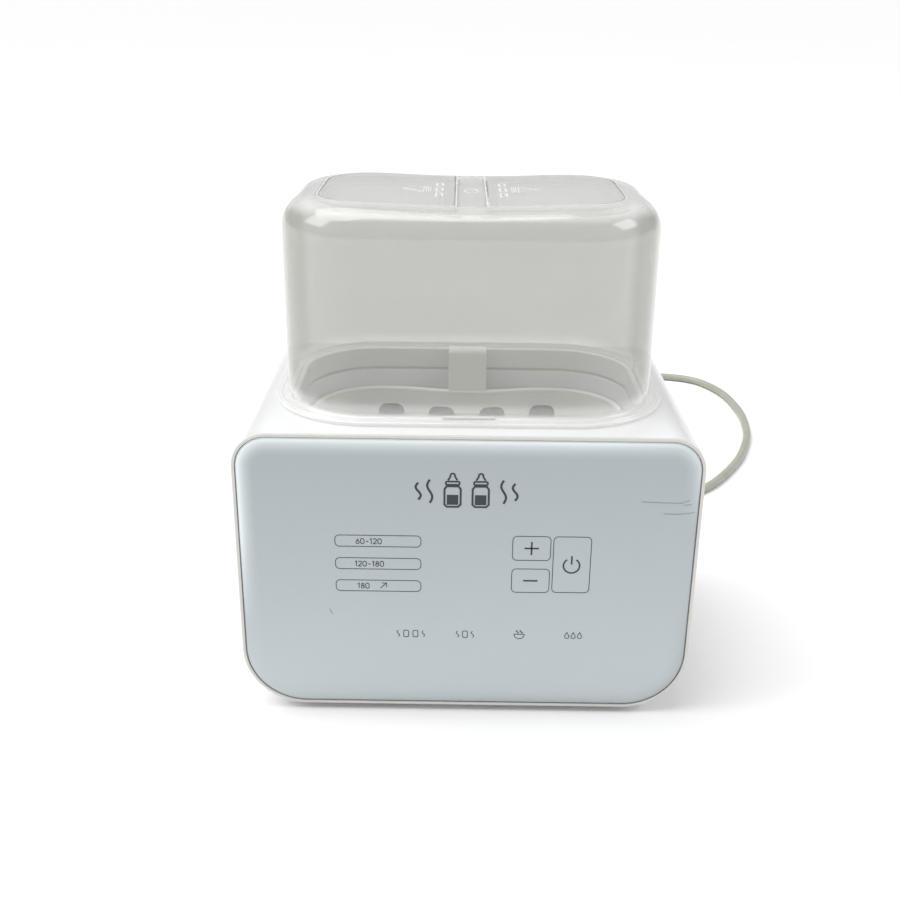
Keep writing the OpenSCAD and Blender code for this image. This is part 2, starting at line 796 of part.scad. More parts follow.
module cover() {
    color(milky) difference() {
        union() {
            difference() {
                union() {
                    capped_box(wall_g, cover_z0, cover_top, cover_r);
                    well_ring(wall_g - 1, wall_g + flange_w, cover_z0, cover_z0 + flange_t);
                }
                capped_box(wall_g - cover_t, cover_z0 - 2, cover_top - cover_t, cover_r - cover_t);
            }
            trays();
        }
        for (s = [0, 1]) mirror([s, 0, 0]) {
            translate([0, 0, recess_z]) linear_extrude(cover_top) recess_outline(0);
            translate([(opening_x0 + opening_x1) / 2, 0, tray_z - cut]) linear_extrude(8)
                round_rect((opening_x1 - opening_x0) / 2, opening_hd, 14);
            block([hinge_x - 2.2, -flap_hd - recess_gap, recess_z - 0.5],
                  [hinge_x + 2.2, flap_hd + recess_gap, recess_z + cut]);
            rod_y(hinge_x, axis_z, pin_r + pin_play, -pin_y1 - clear, pin_y1 + clear);
        }
    }
}

// A flap's plan, with a straight hinge edge and a round outer end, shrunk by an inset
module flap_outline(inset) {
    r = 24 - inset;
    x1 = flap_x1 - inset;
    b = flap_hd - inset;
    x0 = flap_x0 + inset;
    translate([x0, -b]) square([x1 - r - x0, 2 * b]);
    translate([x1 - r - 1, r - b]) square([r + 1, 2 * (b - r)]);
    for (y = [-1, 1]) translate([x1 - r, y * (b - r)]) circle(r);
}

// The right flap, or with s = 1 its mirror image
module flap(s) {
    color(milky) mirror([s, 0, 0]) {
        translate([0, 0, flap_z0]) linear_extrude(flap_t) flap_outline(0);
        translate([0, 0, flap_z0 - 3]) linear_extrude(3.2) difference() {
            translate([(opening_x0 + opening_x1) / 2, 0])
                round_rect((opening_x1 - opening_x0) / 2 - 1.2, opening_hd - 1.2, 12.8);
            translate([(opening_x0 + opening_x1) / 2, 0])
                round_rect((opening_x1 - opening_x0) / 2 - 2.6, opening_hd - 2.6, 11.4);
        }
        rod_y(hinge_x, axis_z, pin_r, -pin_y1, pin_y1);
    }
}

module left_flap() {
    flap(1);
}

module right_flap() {
    flap(0);
}

housing();
front_panel();
bottom_plate();
bottom_screws();
rubber_feet();
well_collar();
tank_gasket();
water_tank();
tank_screws();
heating_plate();
heating_tube();
heater_clamps();
heater_screws();
temperature_sensor();
thermostat();
thermal_fuse();
main_board();
board_screws();
transformer();
capacitors();
relay();
terminal_block();
mains_fuse();
control_chip();
buzzer();
display_board();
display_screws();
digit_display();
indicator_leds();
light_guide();
touch_springs();
display_ribbon();
heater_leads();
sensor_leads();
mains_leads();
inner_cord();
cord_clamp();
clamp_screws();
strain_relief();
power_cord();
cord_coil();
mains_plug();
plug_blades();
basket();
cover();
left_flap();
right_flap();
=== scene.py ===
"""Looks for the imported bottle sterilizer: housing, panel, cover, basket, tank, cord and stage."""
import math

import bmesh
import bpy
from mathutils import Matrix, Vector


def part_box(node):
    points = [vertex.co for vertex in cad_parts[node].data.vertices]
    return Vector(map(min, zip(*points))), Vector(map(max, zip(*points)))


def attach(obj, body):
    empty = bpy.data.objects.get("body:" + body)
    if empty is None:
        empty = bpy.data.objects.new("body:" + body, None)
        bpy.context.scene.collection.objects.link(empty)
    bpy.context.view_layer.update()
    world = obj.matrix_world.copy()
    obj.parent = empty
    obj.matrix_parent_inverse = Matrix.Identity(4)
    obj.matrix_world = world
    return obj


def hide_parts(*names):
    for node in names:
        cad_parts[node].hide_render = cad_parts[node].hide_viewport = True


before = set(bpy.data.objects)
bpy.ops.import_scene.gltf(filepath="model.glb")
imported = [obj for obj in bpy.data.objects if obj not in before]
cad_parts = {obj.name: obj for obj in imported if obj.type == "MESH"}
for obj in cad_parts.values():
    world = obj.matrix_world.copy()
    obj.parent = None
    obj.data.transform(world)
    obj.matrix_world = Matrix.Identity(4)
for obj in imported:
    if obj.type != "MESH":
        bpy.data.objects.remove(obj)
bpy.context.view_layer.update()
MM = 0.001


def mm(*values):
    return Vector([v * MM for v in values])


# ---- camera ----

def make_camera():
    """A camera in front of the object and above it, looking down a little."""
    pitch, yaw, roll = math.radians(21.923), math.radians(-0.3465), math.radians(0.61908)
    data = bpy.data.cameras.new("camera")
    data.sensor_width, data.lens = 36, 45.53
    data.clip_start, data.clip_end = 0.02, 600
    camera = bpy.data.objects.new("camera", data)
    camera.matrix_world = (Matrix.Translation(mm(-5.2, -522.3, 313.7)) @ Matrix.Rotation(-yaw, 4, "Z")
                           @ Matrix.Rotation(math.pi / 2 - pitch, 4, "X") @ Matrix.Rotation(roll, 4, "Z"))
    bpy.context.scene.collection.objects.link(camera)
    bpy.context.scene.camera = camera


make_camera()

# ---- sizes read from the frame ----

(_, LIP_Y, BASE_Z), (HALF_W, BACK_Y, TOP_Z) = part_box("housing")
panel_low, panel_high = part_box("front_panel")
collar_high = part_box("well_collar")[1]
tank_low, tank_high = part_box("water_tank")
cover_low, cover_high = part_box("cover")
basket_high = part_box("basket")[1]
flap_low, flap_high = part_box("right_flap")
relief_low, relief_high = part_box("strain_relief")
plug_low, plug_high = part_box("mains_plug")

WALL = 2.5 * MM
LIP = 1.5 * MM
PANEL_GAP = 0.3 * MM
TOP_R = 15.5 * MM
BOTTOM_R = 29 * MM
WALL_G = 4.6
COVER_T = 1.6
COVER_R = 14.0
FLANGE_G = (WALL_G + 5.6) * MM
WELL_HW = cover_high.x - FLANGE_G
WELL_HD = cover_high.y - FLANGE_G
WELL_R = 34.5 * MM
PANEL_BACK = LIP_Y + 2 * MM
LEDGE_Y = PANEL_BACK + 2 * MM
FRONT_Y = panel_low.y
ROOF_Z = cover_high.z

# ---- mesh helpers ----

def turn_outward(mesh, weld=None):
    """Turn all faces outward, and weld points that are closer than the given distance."""
    bm = bmesh.new()
    bm.from_mesh(mesh)
    if weld:
        bmesh.ops.remove_doubles(bm, verts=bm.verts, dist=weld)
    bmesh.ops.recalc_face_normals(bm, faces=bm.faces)
    bm.to_mesh(mesh)
    bm.free()


def add_object(name, verts, faces, material, sharp=35.0):
    """A mesh object with outward faces, smooth but for edges sharper than the given angle."""
    mesh = bpy.data.meshes.new(name)
    mesh.from_pydata([tuple(v) for v in verts], [], faces)
    turn_outward(mesh, 1e-7)
    obj = bpy.data.objects.new(name, mesh)
    bpy.context.scene.collection.objects.link(obj)
    mesh.materials.append(material)
    shade(obj, sharp)
    return obj


def shade(obj, sharp=35.0):
    """Smooth faces, with edges kept sharp above an angle."""
    for polygon in obj.data.polygons:
        polygon.use_smooth = True
    obj.data.set_sharp_from_angle(angle=math.radians(sharp))


def arc(cx, cy, r, start, end, n):
    """Points of a circular arc, in degrees."""
    turns = [math.radians(start + (end - start) * i / n) for i in range(n + 1)]
    return [(cx + r * math.cos(t), cy + r * math.sin(t)) for t in turns]


def circle(cx, cy, r, n):
    """Points of a whole circle."""
    return arc(cx, cy, r, 0, 360, n)[:-1]


def metres(points):
    """Pairs in millimetres, turned to metres."""
    return [(a * MM, b * MM) for a, b in points]


def between(start, end, n):
    """Points spaced evenly between two others."""
    return [tuple(a + (b - a) * i / (n + 1) for a, b in zip(start, end)) for i in range(1, n + 1)]


def arc_loop(arcs, counts):
    """A closed loop through arcs, with a number of points between each and the next."""
    points = []
    for one, after, n in zip(arcs, arcs[1:] + arcs[:1], counts):
        points += one + between(one[-1], after[0], n)
    return points


def corner_loop(a, b, radii, n, straight):
    """A closed rounded rectangle, counter-clockwise from the right end of its top right corner.

    Each corner has its own radius, and each straight side a number of extra points.
    """
    arcs = []
    for k, (r, right, up) in enumerate(zip(radii, (1, -1, -1, 1), (1, 1, -1, -1))):
        arcs.append(arc(right * (a - r), up * (b - r), r, 90 * k, 90 * k + 90, n))
    return arc_loop(arcs, [straight] * 4)


def well_loop(g, n=14, straight=6):
    """The well's mouth in plan, grown outwards by g."""
    return corner_loop(WELL_HW + g, WELL_HD + g, [WELL_R + g] * 4, n, straight)


def front_loop(inset):
    """The housing's outline seen from the front, shrunk by an inset."""
    half_h = (TOP_Z - BASE_Z) / 2 - inset
    mid = (TOP_Z + BASE_Z) / 2
    top, bottom = TOP_R - inset, BOTTOM_R - inset
    loop = corner_loop(HALF_W - inset, half_h, [top, top, bottom, bottom], 14, 6)
    return [(x, z + mid) for x, z in loop]


def loft(name, rings, material, closed=False, sharp=35.0):
    """A surface through rings of equal length, joined end to end if closed, or else capped."""
    n = len(rings[0])
    verts = [v for ring in rings for v in ring]
    faces = []
    for i in range(len(rings) if closed else len(rings) - 1):
        a, b = i * n, ((i + 1) % len(rings)) * n
        faces += [(a + k, a + (k + 1) % n, b + (k + 1) % n, b + k) for k in range(n)]
    if not closed:
        faces += [tuple(range(n)), tuple(reversed(range(len(verts) - n, len(verts))))]
    return add_object(name, verts, faces, material, sharp)


def sweep(name, profile, material, n=14, straight=6, **options):
    """A profile of (growth, height) pairs in millimetres, swept round the well's outline."""
    rings = [[(x, y, z * MM) for x, y in well_loop(g * MM, n, straight)] for g, z in profile]
    return loft(name, rings, material, **options)


def level_ring(points, z):
    """Pairs in millimetres as a level ring at a height in millimetres."""
    return [mm(x, y, z) for x, y in points]


def ease(f):
    """A soft step from 0 to 1."""
    f = min(1, max(0, f))
    return f * f * (3 - 2 * f)


def prism(name, loop, low, high, material, axis="z"):
    """A solid between two heights of a closed loop, along Z or along Y."""
    rings = [[(a, b, h) if axis == "z" else (a, h, b) for a, b in loop] for h in (low, high)]
    return loft(name, rings, material)


def cut(obj, *tools):
    """Subtract the tools from a piece, and delete them."""
    for tool in tools:
        modifier = obj.modifiers.new("cut", "BOOLEAN")
        modifier.operation = "DIFFERENCE"
        modifier.solver = "EXACT"
        modifier.object = tool
        bpy.context.view_layer.update()
        graph = bpy.context.evaluated_depsgraph_get()
        mesh = bpy.data.meshes.new_from_object(obj.evaluated_get(graph))
        old = obj.data
        obj.modifiers.clear()
        obj.data = mesh
        bpy.data.meshes.remove(old)
        bpy.data.objects.remove(tool)
    shade(obj)
    return obj


def join(name, objects):
    """One piece made of several."""
    for o in bpy.context.selected_objects:
        o.select_set(False)
    for o in objects:
        o.select_set(True)
    bpy.context.view_layer.objects.active = joined = objects[0]
    bpy.ops.object.join()
    joined.name = joined.data.name = name
    return joined


def soften(obj, width):
    """Round a piece's sharp edges with a bevel."""
    bevel = obj.modifiers.new("soften", "BEVEL")
    bevel.width = width
    bevel.segments = 2
    bevel.limit_method = "ANGLE"
    bevel.angle_limit = math.radians(40)
    bevel.harden_normals = True
    return obj


def weigh(obj):
    """Keep flat faces flat beside their rounded edges."""
    obj.modifiers.new("weigh", "WEIGHTED_NORMAL").keep_sharp = True
    return obj


def own(obj, body, slot, *nodes):
    """A piece that rides on a body and stands for CAD nodes. Its slot is not used."""
    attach(obj, body)
    if nodes:
        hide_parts(*nodes)
    return obj


# ---- materials ----

# The share of a milky wall's density that meets the lamps' light
LAMP_SHARE = 0.5


class Look:
    """A node material with object-space coordinates, built up step by step."""

    def __init__(self, name, color, roughness, **sockets):
        self.material = bpy.data.materials.new(name)
        self.material.use_nodes = True
        self.nodes = self.material.node_tree.nodes
        self.links = self.material.node_tree.links
        self.color, self.roughness, self.height = color, roughness, None
        self.shader = self.nodes["Principled BSDF"]
        self.fill(self.shader, Base_Color=(*color, 1), Roughness=roughness, **sockets)
        self.where = self.node("TexCoord").outputs["Object"]

    def fill(self, node, **sockets):
        """Set some of a node's inputs."""
        for socket, value in sockets.items():
            node.inputs[socket.replace("_", " ")].default_value = value
        return node

    def node(self, kind, **sockets):
        """A new node with some of its inputs set."""
        return self.fill(self.nodes.new("ShaderNode" + kind), **sockets)

    def noise(self, scale, detail=4, stretch=None, rough=0.5):
        """Noise from 0 to 1, stretched along the axes if wished."""
        place = self.where
        if stretch:
            mapping = self.node("Mapping", Scale=stretch)
            self.links.new(place, mapping.inputs["Vector"])
            place = mapping.outputs["Vector"]
        noise = self.node("TexNoise", Scale=scale, Detail=detail, Roughness=rough)
        self.links.new(place, noise.inputs["Vector"])
        return noise.outputs["Fac"]

    def spread(self, value, low, high, from_low=0.3, from_high=0.7):
        """Turn one range of a value into another, without going beyond it."""
        span = self.node("MapRange", From_Min=from_low, From_Max=from_high, To_Min=low, To_Max=high)
        self.links.new(value, span.inputs["Value"])
        return span.outputs["Result"]

    def tint(self, value, other, low=0.3, high=0.7):
        """Blend the colour towards another where value is high."""
        mix = self.node("Mix")
        mix.data_type = "RGBA"
        target = self.shader.inputs["Base Color"]
        if target.is_linked:
            self.links.new(target.links[0].from_socket, mix.inputs[6])
        else:
            mix.inputs[6].default_value = (*self.color, 1)
        mix.inputs[7].default_value = (*other, 1)
        self.links.new(self.spread(value, 0, 1, low, high), mix.inputs[0])
        self.links.new(mix.outputs[2], target)

    def along(self, axis):
        """The object-space coordinate along an axis, in metres."""
        split = self.node("SeparateXYZ")
        self.links.new(self.where, split.inputs[0])
        return split.outputs[axis]

    def combine(self, operation, *values):
        """A sum, product or the like of values."""
        made = self.node("Math")
        made.operation = operation
        for value, socket in zip(values, made.inputs):
            self.links.new(value, socket)
        return made.outputs[0]

    def height_ramp(self, low, high, stops):
        """Blend the colour through stops, each a share of the way from one height to the other."""
        ramp = self.node("ValToRGB")
        elements = ramp.color_ramp.elements
        elements[0].position, elements[0].color = stops[0][0], (*stops[0][1], 1)
        elements[1].position, elements[1].color = stops[-1][0], (*stops[-1][1], 1)
        for place, color in stops[1:-1]:
            elements.new(place).color = (*color, 1)
        self.links.new(self.spread(self.along("Z"), 0, 1, low, high), ramp.inputs["Fac"])
        self.links.new(ramp.outputs["Color"], self.shader.inputs["Base Color"])

    def denser_edges(self, alpha, edge, foot=None):
        """Less see-through where the surface is seen along its length, and in the thick foot."""
        facing = self.node("LayerWeight", Blend=0.5)
        density = self.spread(facing.outputs["Facing"], alpha, edge, 0.45, 1.0)
        if foot:
            share, low, high = foot
            density = self.combine("MAXIMUM", density, self.spread(self.along("Z"), share, 0, low, high))
        # Light comes through milky plastic scattered, so lamps pass it better than sight does
        ray = self.node("LightPath").outputs
        lamp = self.combine("MAXIMUM", ray["Is Shadow Ray"], ray["Is Diffuse Ray"])
        self.links.new(self.combine("MULTIPLY", density, self.spread(lamp, 1, LAMP_SHARE, 0, 1)),
                       self.shader.inputs["Alpha"])

    def surface(self, blotch, other, patch, amount, grain, detail, depth, strength):
        """Blotches of another colour, patches of another roughness and a fine grain."""
        self.tint(self.noise(blotch), other)
        self.mottle(self.noise(patch), amount)
        self.bump(self.noise(grain, detail), depth, strength)
        return self.material

    def mottle(self, value, amount):
        """Vary the roughness by an amount either way."""
        result = self.spread(value, self.roughness - amount, self.roughness + amount)
        self.links.new(result, self.shader.inputs["Roughness"])

    def bump(self, value, distance, strength):
        """Relief from a value, on top of the relief that is there."""
        relief = self.node("Bump", Distance=distance, Strength=strength)
        self.links.new(value, relief.inputs["Height"])
        if self.height:
            self.links.new(self.height, relief.inputs["Normal"])
        self.height = relief.outputs["Normal"]
        self.links.new(self.height, self.shader.inputs["Normal"])


def housing_plastic():
    look = Look("housing_plastic", (0.84, 0.85, 0.85), 0.22, Coat_Weight=0.15, Coat_Roughness=0.12)
    look.tint(look.noise(9), (0.80, 0.81, 0.81))
    # Painted shade: greyer towards the sides and on the lip's front, where less light falls
    sideways = look.combine("ABSOLUTE", look.along("X"))
    look.tint(sideways, (0.60, 0.60, 0.595), HALF_W - 16 * MM, HALF_W)
    look.tint(look.along("Y"), (0.66, 0.65, 0.625), LIP_Y + 1.5 * MM, LIP_Y + 0.8 * MM)
    look.mottle(look.noise(60), 0.05)
    look.bump(look.noise(900, 2), 0.00002, 0.4)
    look.bump(look.noise(14, 2), 0.00025, 0.35)
    return look.material


def panel_plastic():
    look = Look("panel_plastic", (0.47, 0.52, 0.545), 0.16, Coat_Weight=0.4, Coat_Roughness=0.06)
    # Painted light: lighter towards the foot, where the floor's light is reflected, and darker towards the
    # head
    foot, middle, head = (0.55, 0.61, 0.63), (0.465, 0.52, 0.545), (0.40, 0.445, 0.475)
    look.height_ramp(panel_low.z, panel_high.z, [(0, foot), (0.45, middle), (1, head)])
    look.tint(look.noise(7), (0.52, 0.57, 0.60), 0.45, 1.6)
    # Painted light and shade: the face's curved edge is lightest at the top and left, and darkest at the
    # bottom, as light falls on its curve
    edge = look.spread(look.along("Y"), 0, 1, FRONT_Y + 0.02 * MM, FRONT_Y + 1.0 * MM)
    up = look.spread(look.along("Z"), -1.2, 1.2, panel_low.z, panel_high.z)
    aside = look.spread(look.along("X"), -0.5, 0.5, panel_low.x, panel_high.x)
    rise = look.combine("SUBTRACT", up, aside)
    bright = look.combine("MULTIPLY", edge, look.spread(rise, 0, 1, 0, 0.9))
    painted_shade = look.combine("MULTIPLY", edge, look.spread(rise, 1, 0, -1.2, -0.4))
    look.tint(bright, (0.84, 0.90, 0.915), 0, 1)
    look.tint(painted_shade, (0.44, 0.49, 0.50), 0, 1)
    look.mottle(look.noise(35), 0.05)
    scratches = look.noise(260, 3, stretch=(0.06, 1, 1.6), rough=0.7)
    look.bump(look.spread(scratches, 0, 1, 0.62, 0.72), 0.00002, 0.35)
    look.bump(look.noise(10, 2), 0.0002, 0.25)
    return look.material


def milky_plastic(name, alpha, edge, heights=None, foot=None):
    """Milky polypropylene, denser along its edges, with painted light by height if given."""
    color = (0.74, 0.75, 0.715)
    look = Look(name, color, 0.16, Coat_Weight=1.0, Coat_IOR=1.9, Coat_Roughness=0.06)
    if heights:
        look.height_ramp(cover_low.z, cover_high.z, heights)
    look.tint(look.noise(18), tuple(0.95 * c for c in color), 0.55, 2.6)
    look.denser_edges(alpha, edge, foot)
    look.mottle(look.noise(45), 0.04)
    look.bump(look.noise(22, 2), 0.0002, 0.25)
    return look.material


def cover_heights():
    """Painted light: whiter at the thick foot, where the white housing's light comes through, and on the
    top-lit roof; greyer in the tall thin wall.
    """
    foot, wall, roof = (0.94, 0.94, 0.92), (0.30, 0.303, 0.25), (0.78, 0.79, 0.76)
    return [(0, foot), (0.055, foot), (0.10, wall), (0.93, wall), (0.965, roof), (1, roof)]


def basket_plastic():
    look = Look("basket_plastic", (0.92, 0.92, 0.90), 0.38, Subsurface_Weight=0.12,
                Subsurface_Radius=(0.004, 0.004, 0.003))
    return look.surface(25, (0.89, 0.89, 0.87), 80, 0.06, 700, 2, 0.00003, 0.5)


def tank_coating():
    look = Look("tank_coating", (0.72, 0.72, 0.725), 0.34)
    # Painted shade: near black up to just below the basket's rim, standing for the shade deep in the well;
    # above that, the tank's own light grey
    painted_deep_shade, painted_shade, bright = (0.04, 0.04, 0.045), (0.05, 0.05, 0.055), (0.87, 0.87, 0.92)
    look.height_ramp(tank_low.z, tank_high.z, [(0, painted_deep_shade), (0.81, painted_shade), (0.86, bright), (1, bright)])
    look.tint(look.noise(1500, 1), (0.84, 0.84, 0.84), 0.55, 0.8)
    look.mottle(look.noise(50), 0.08)
    look.bump(look.noise(1200, 2), 0.00003, 0.6)
    return look.material


def soft_plastic(name, color, roughness=0.45, grain=800, depth=0.00004):
    darker = tuple(0.93 * c for c in color)
    return Look(name, color, roughness).surface(30, darker, 90, 0.06, grain, 3, depth, 0.6)


def metal(name, color, roughness=0.3):
    darker = tuple(0.82 * c for c in color)
    return Look(name, color, roughness, Metallic=1.0).surface(40, darker, 400, 0.1, 600, 3, 0.00002, 0.5)


def cord_plastic():
    look = Look("cord_plastic", (0.34, 0.34, 0.285), 0.42, Coat_Weight=0.1)
    return look.surface(60, (0.38, 0.375, 0.32), 150, 0.08, 1200, 3, 0.00003, 0.6)


WHITE = housing_plastic()
PANEL = panel_plastic()
# The cover's flange: its least density, and the heights between which that fades
FOOT = (0.62, cover_low.z + 3 * MM, cover_low.z + 5 * MM)
MILKY = milky_plastic("cover_plastic", 0.28, 0.78, cover_heights(), FOOT)
MILKY_FLAP = milky_plastic("flap_plastic", 0.46, 0.75)
BASKET = basket_plastic()
TANK = tank_coating()
CORD = cord_plastic()
TIE = soft_plastic("tie_webbing", (0.66, 0.66, 0.63), 0.8, 2500, 0.00012)
INK = soft_plastic("print_ink", (0.024, 0.034, 0.05), 0.4)
SCUFF = soft_plastic("wear_marks", (0.24, 0.28, 0.30), 0.5)
# White raised marks; on the flap's bead and the cover's front tab this white is a painted highlight
EMBOSS_AND_GLINT = soft_plastic("embossed_marks_and_glints", (0.84, 0.84, 0.825), 0.25)
STEEL = metal("zinc_steel", (0.60, 0.60, 0.62))
BRASS = metal("brass_parts", (0.75, 0.60, 0.30))
ALUMINIUM = metal("cast_aluminium", (0.72, 0.73, 0.74), 0.4)
OXIDE = metal("oxidised_tube", (0.30, 0.28, 0.27), 0.5)

# Nodes that show as the CAD made them: those that share a material, then those with their own,
# each with its colour and, where it isn't the usual one, its roughness
CAD_LOOKS = [
    (WHITE, "bottom_plate", "cord_clamp"),
    (STEEL, "bottom_screws", "tank_screws", "heater_clamps", "heater_screws", "board_screws",
     "display_screws", "clamp_screws"),
    (ALUMINIUM, "heating_plate"),
    (OXIDE, "heating_tube"),
    (BRASS, "temperature_sensor", "touch_springs", "plug_blades"),
    (CORD, "inner_cord"),
    (soft_plastic("solder_mask", (0.03, 0.20, 0.09), 0.3), "main_board", "display_board"),
]
CAD_LOOKS += [(soft_plastic(name, color, *roughness), node) for node, name, color, *roughness in (
    ("rubber_feet", "foot_rubber", (0.60, 0.60, 0.59), 0.6),
    ("tank_gasket", "gasket_silicone", (0.62, 0.62, 0.60), 0.5),
    ("thermostat", "phenolic_case", (0.03, 0.03, 0.032)),
    ("thermal_fuse", "glazed_ceramic", (0.74, 0.73, 0.68), 0.3),
    ("transformer", "winding_tape", (0.75, 0.58, 0.12)),
    ("capacitors", "shrink_sleeve", (0.03, 0.04, 0.12), 0.3),
    ("relay", "relay_case", (0.04, 0.13, 0.38)),
    ("terminal_block", "terminal_case", (0.06, 0.32, 0.13)),
    ("mains_fuse", "fuse_ceramic", (0.78, 0.77, 0.72), 0.3),
    ("control_chip", "chip_case", (0.025, 0.025, 0.03)),
    ("buzzer", "buzzer_case", (0.02, 0.02, 0.022)),
    ("digit_display", "digit_case", (0.03, 0.03, 0.035), 0.2),
    ("indicator_leds", "lamp_lens", (0.88, 0.86, 0.74), 0.15),
    ("light_guide", "guide_case", (0.025, 0.025, 0.028)),
    ("display_ribbon", "ribbon_sleeve", (0.60, 0.60, 0.58)),
    ("heater_leads", "red_sleeve", (0.55, 0.04, 0.03)),
    ("sensor_leads", "white_sleeve", (0.82, 0.82, 0.79)),
    ("mains_leads", "blue_sleeve", (0.05, 0.12, 0.42)))]


def dress_cad_nodes():
    """Give the CAD nodes that show as they are their materials and small rounded edges."""
    for material, *nodes in CAD_LOOKS:
        for node in nodes:
            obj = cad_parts[node]
            obj.data.materials.clear()
            obj.data.materials.append(material)
            soften(obj, 0.15 * MM)


# ---- cord ----

CORD_D = 5.6 * MM
# The height of the cord's middle where it lies on the table
LAY = CORD_D / 2 / MM + 0.1
COIL_AT = (10, 200)
# Radius and height of the coil's three layers of turns
OUTER_TURN, INNER_TURN, TOP_TURN = (33.0, LAY), (27.2, LAY), (30.0, LAY + 4.9)
PLUG_Z = 7.5

# Out of the relief, down to the table, round the visible loop and in behind the housing
ROUTE = [(62, 98, 16), (62, 108, 14.6), (63, 119, 11), (67, 131, 6.8), (74, 142, 3.8)]
ROUTE += [(x, y, LAY) for x, y in (
    (84, 151), (97, 158), (111, 163), (126, 167), (140, 172), (154, 179), (166, 189), (177, 203),
    (189, 222), (200, 243), (209, 266), (216, 289), (220, 313), (222, 337), (221, 361), (218, 383),
    (211, 403), (201, 418), (187, 426), (172, 429), (156, 428), (141, 423), (127, 413), (115, 399),
    (105, 382), (96, 363), (88, 343), (80, 323), (71, 303), (60, 283), (48, 264), (36, 249),
    (23, 238), (10, 233))]
# The middle of the hole in the back wall, as X and Z
OUTLET = (ROUTE[0][0], ROUTE[0][2])
# Off the coil's top turn to the plug
TAIL = [(-20, 190, 7.6), (-20, 178, 7.5), (-20, 166, 7.5), (-20, 156, PLUG_Z)]


def coil_points():
    """Turns that lie beside and on each other, from the cord's arrival to the side of the plug."""
    turns, per_turn = 3.25, 24
    stations = [(0.0, OUTER_TURN), (0.85, OUTER_TURN), (1.05, INNER_TURN), (1.85, INNER_TURN),
                (2.1, TOP_TURN), (turns, TOP_TURN)]
    points = []
    for i in range(1, round(turns * per_turn) + 1):
        t = i / per_turn
        legs = zip(stations, stations[1:])
        (t0, first), (t1, second) = next(leg for leg in legs if t <= leg[1][0] + 1e-9)
        f = ease((t - t0) / (t1 - t0))
        r, z = (a + f * (b - a) for a, b in zip(first, second))
        angle = math.radians(90 + 360 * t)
        points.append((COIL_AT[0] + r * math.cos(angle), COIL_AT[1] + r * math.sin(angle), z))
    return points


def smooth_path(points):
    """Points of a Catmull-Rom curve through the given ones, in metres."""
    steps = 4
    p = [Vector(q) for q in points]
    p = [2 * p[0] - p[1], *p, 2 * p[-1] - p[-2]]
    out = []
    for i in range(1, len(p) - 2):
        for k in range(steps):
            t = k / steps
            out.append(0.5 * (2 * p[i] + (p[i + 1] - p[i - 1]) * t
                              + (2 * p[i - 1] - 5 * p[i] + 4 * p[i + 1] - p[i + 2]) * t * t
                              + (3 * p[i] - p[i - 1] - 3 * p[i + 1] + p[i + 2]) * t ** 3))
    out.append(p[-2])
    return [v * MM for v in out]


def tube_rings(path, radius, sides):
    """Rings round a path that runs mostly level."""
    rings = []
    for i, p in enumerate(path):
        ahead = (path[min(i + 1, len(path) - 1)] - path[max(i - 1, 0)]).normalized()
        side = ahead.cross(Vector((0, 0, 1))).normalized()
        up = side.cross(ahead)
        rings.append([p + radius * (c * side + s * up) for c, s in circle(0, 0, 1, sides)])
    return rings


def turned(name, axis_at, stations, material, sides=32):
    """A body turned round an axis along Y. stations are (y, radius) pairs in millimetres."""
    rings = [[mm(x, y, z) for x, z in circle(*axis_at, r, sides)] for y, r in stations]
    return loft(name, rings, material)


def make_relief():
    """Ribbed, tapered relief with a collar that bears on the back wall."""
    inner, back, out = relief_low.y / MM, BACK_Y / MM, relief_high.y / MM
    stations = [(inner, 6.2), (inner + 2, 6.2), (inner + 2, 4.55), (back, 4.55), (back, 6.2),
                (back + 0.4, 6.5), (back + 2, 6.5), (back + 2.5, 6.1), (back + 2.6, 5.0)]
    ribs = 6
    pitch = (out - back - 5.5) / ribs
    for k in range(ribs):
        y = back + 3.2 + k * pitch
        r = 5.0 - 1.5 * (y - back) / (out - back)
        stations += [(y, r), (y + 0.6 * pitch, r - 0.05)]
        stations += [(y + 0.65 * pitch, r - 0.8), (y + 0.95 * pitch, r - 0.85)]
    stations += [(out - 2, 3.45), (out, 3.2)]
    relief = turned("cord_relief", OUTLET, stations, CORD)
    return own(relief, "root", "cord_beige", "strain_relief")


def make_cord():
    """The cord with what hangs on it: relief, plug with its blades, and the coil's tie."""
    path = smooth_path(ROUTE + coil_points() + TAIL)
    cord = loft("mains_cord", tube_rings(path, CORD_D / 2, 20), CORD)
    own(cord, "root", "cord_beige", "power_cord", "cord_coil")
    relief, plug, tie = make_relief(), make_plug(), make_tie()


def make_tie():
    """A soft strap round the coil's three layers of turns, with its free end laid over."""
    outline = []
    for ca, sa in circle(0, 0, 1, 48):
        x, z = max((OUTER_TURN, INNER_TURN, TOP_TURN), key=lambda turn: turn[0] * ca + turn[1] * sa)
        outline.append((x, z, ca, sa))

    def strip(part, y, grow):
        """The outline or a part of it at one place along Y, grown outwards from the cord's skin."""
        return [mm(COIL_AT[0] + x + (LAY + grow) * ca, COIL_AT[1] + y, max(0.02, z + (LAY + grow) * sa))
                for x, z, ca, sa in part]

    band = [strip(outline, y, grow)
            for grow, y in ((0, -4), (0.5, -4), (0.7, -3.7), (0.7, 3.7), (0.5, 4), (0, 4))]
    top = outline[2:15]
    end = [strip(top, y, 0.7) + strip(top[::-1], y, 0.7 + thick)
           for y, thick in ((-3.4, 0.2), (-3.2, 0.7), (3.2, 0.7), (3.4, 0.2))]
    tie = join("cord_tie", [loft("band", band, TIE, closed=True), loft("end", end, TIE)])
    return own(tie, "root", "cord_beige")


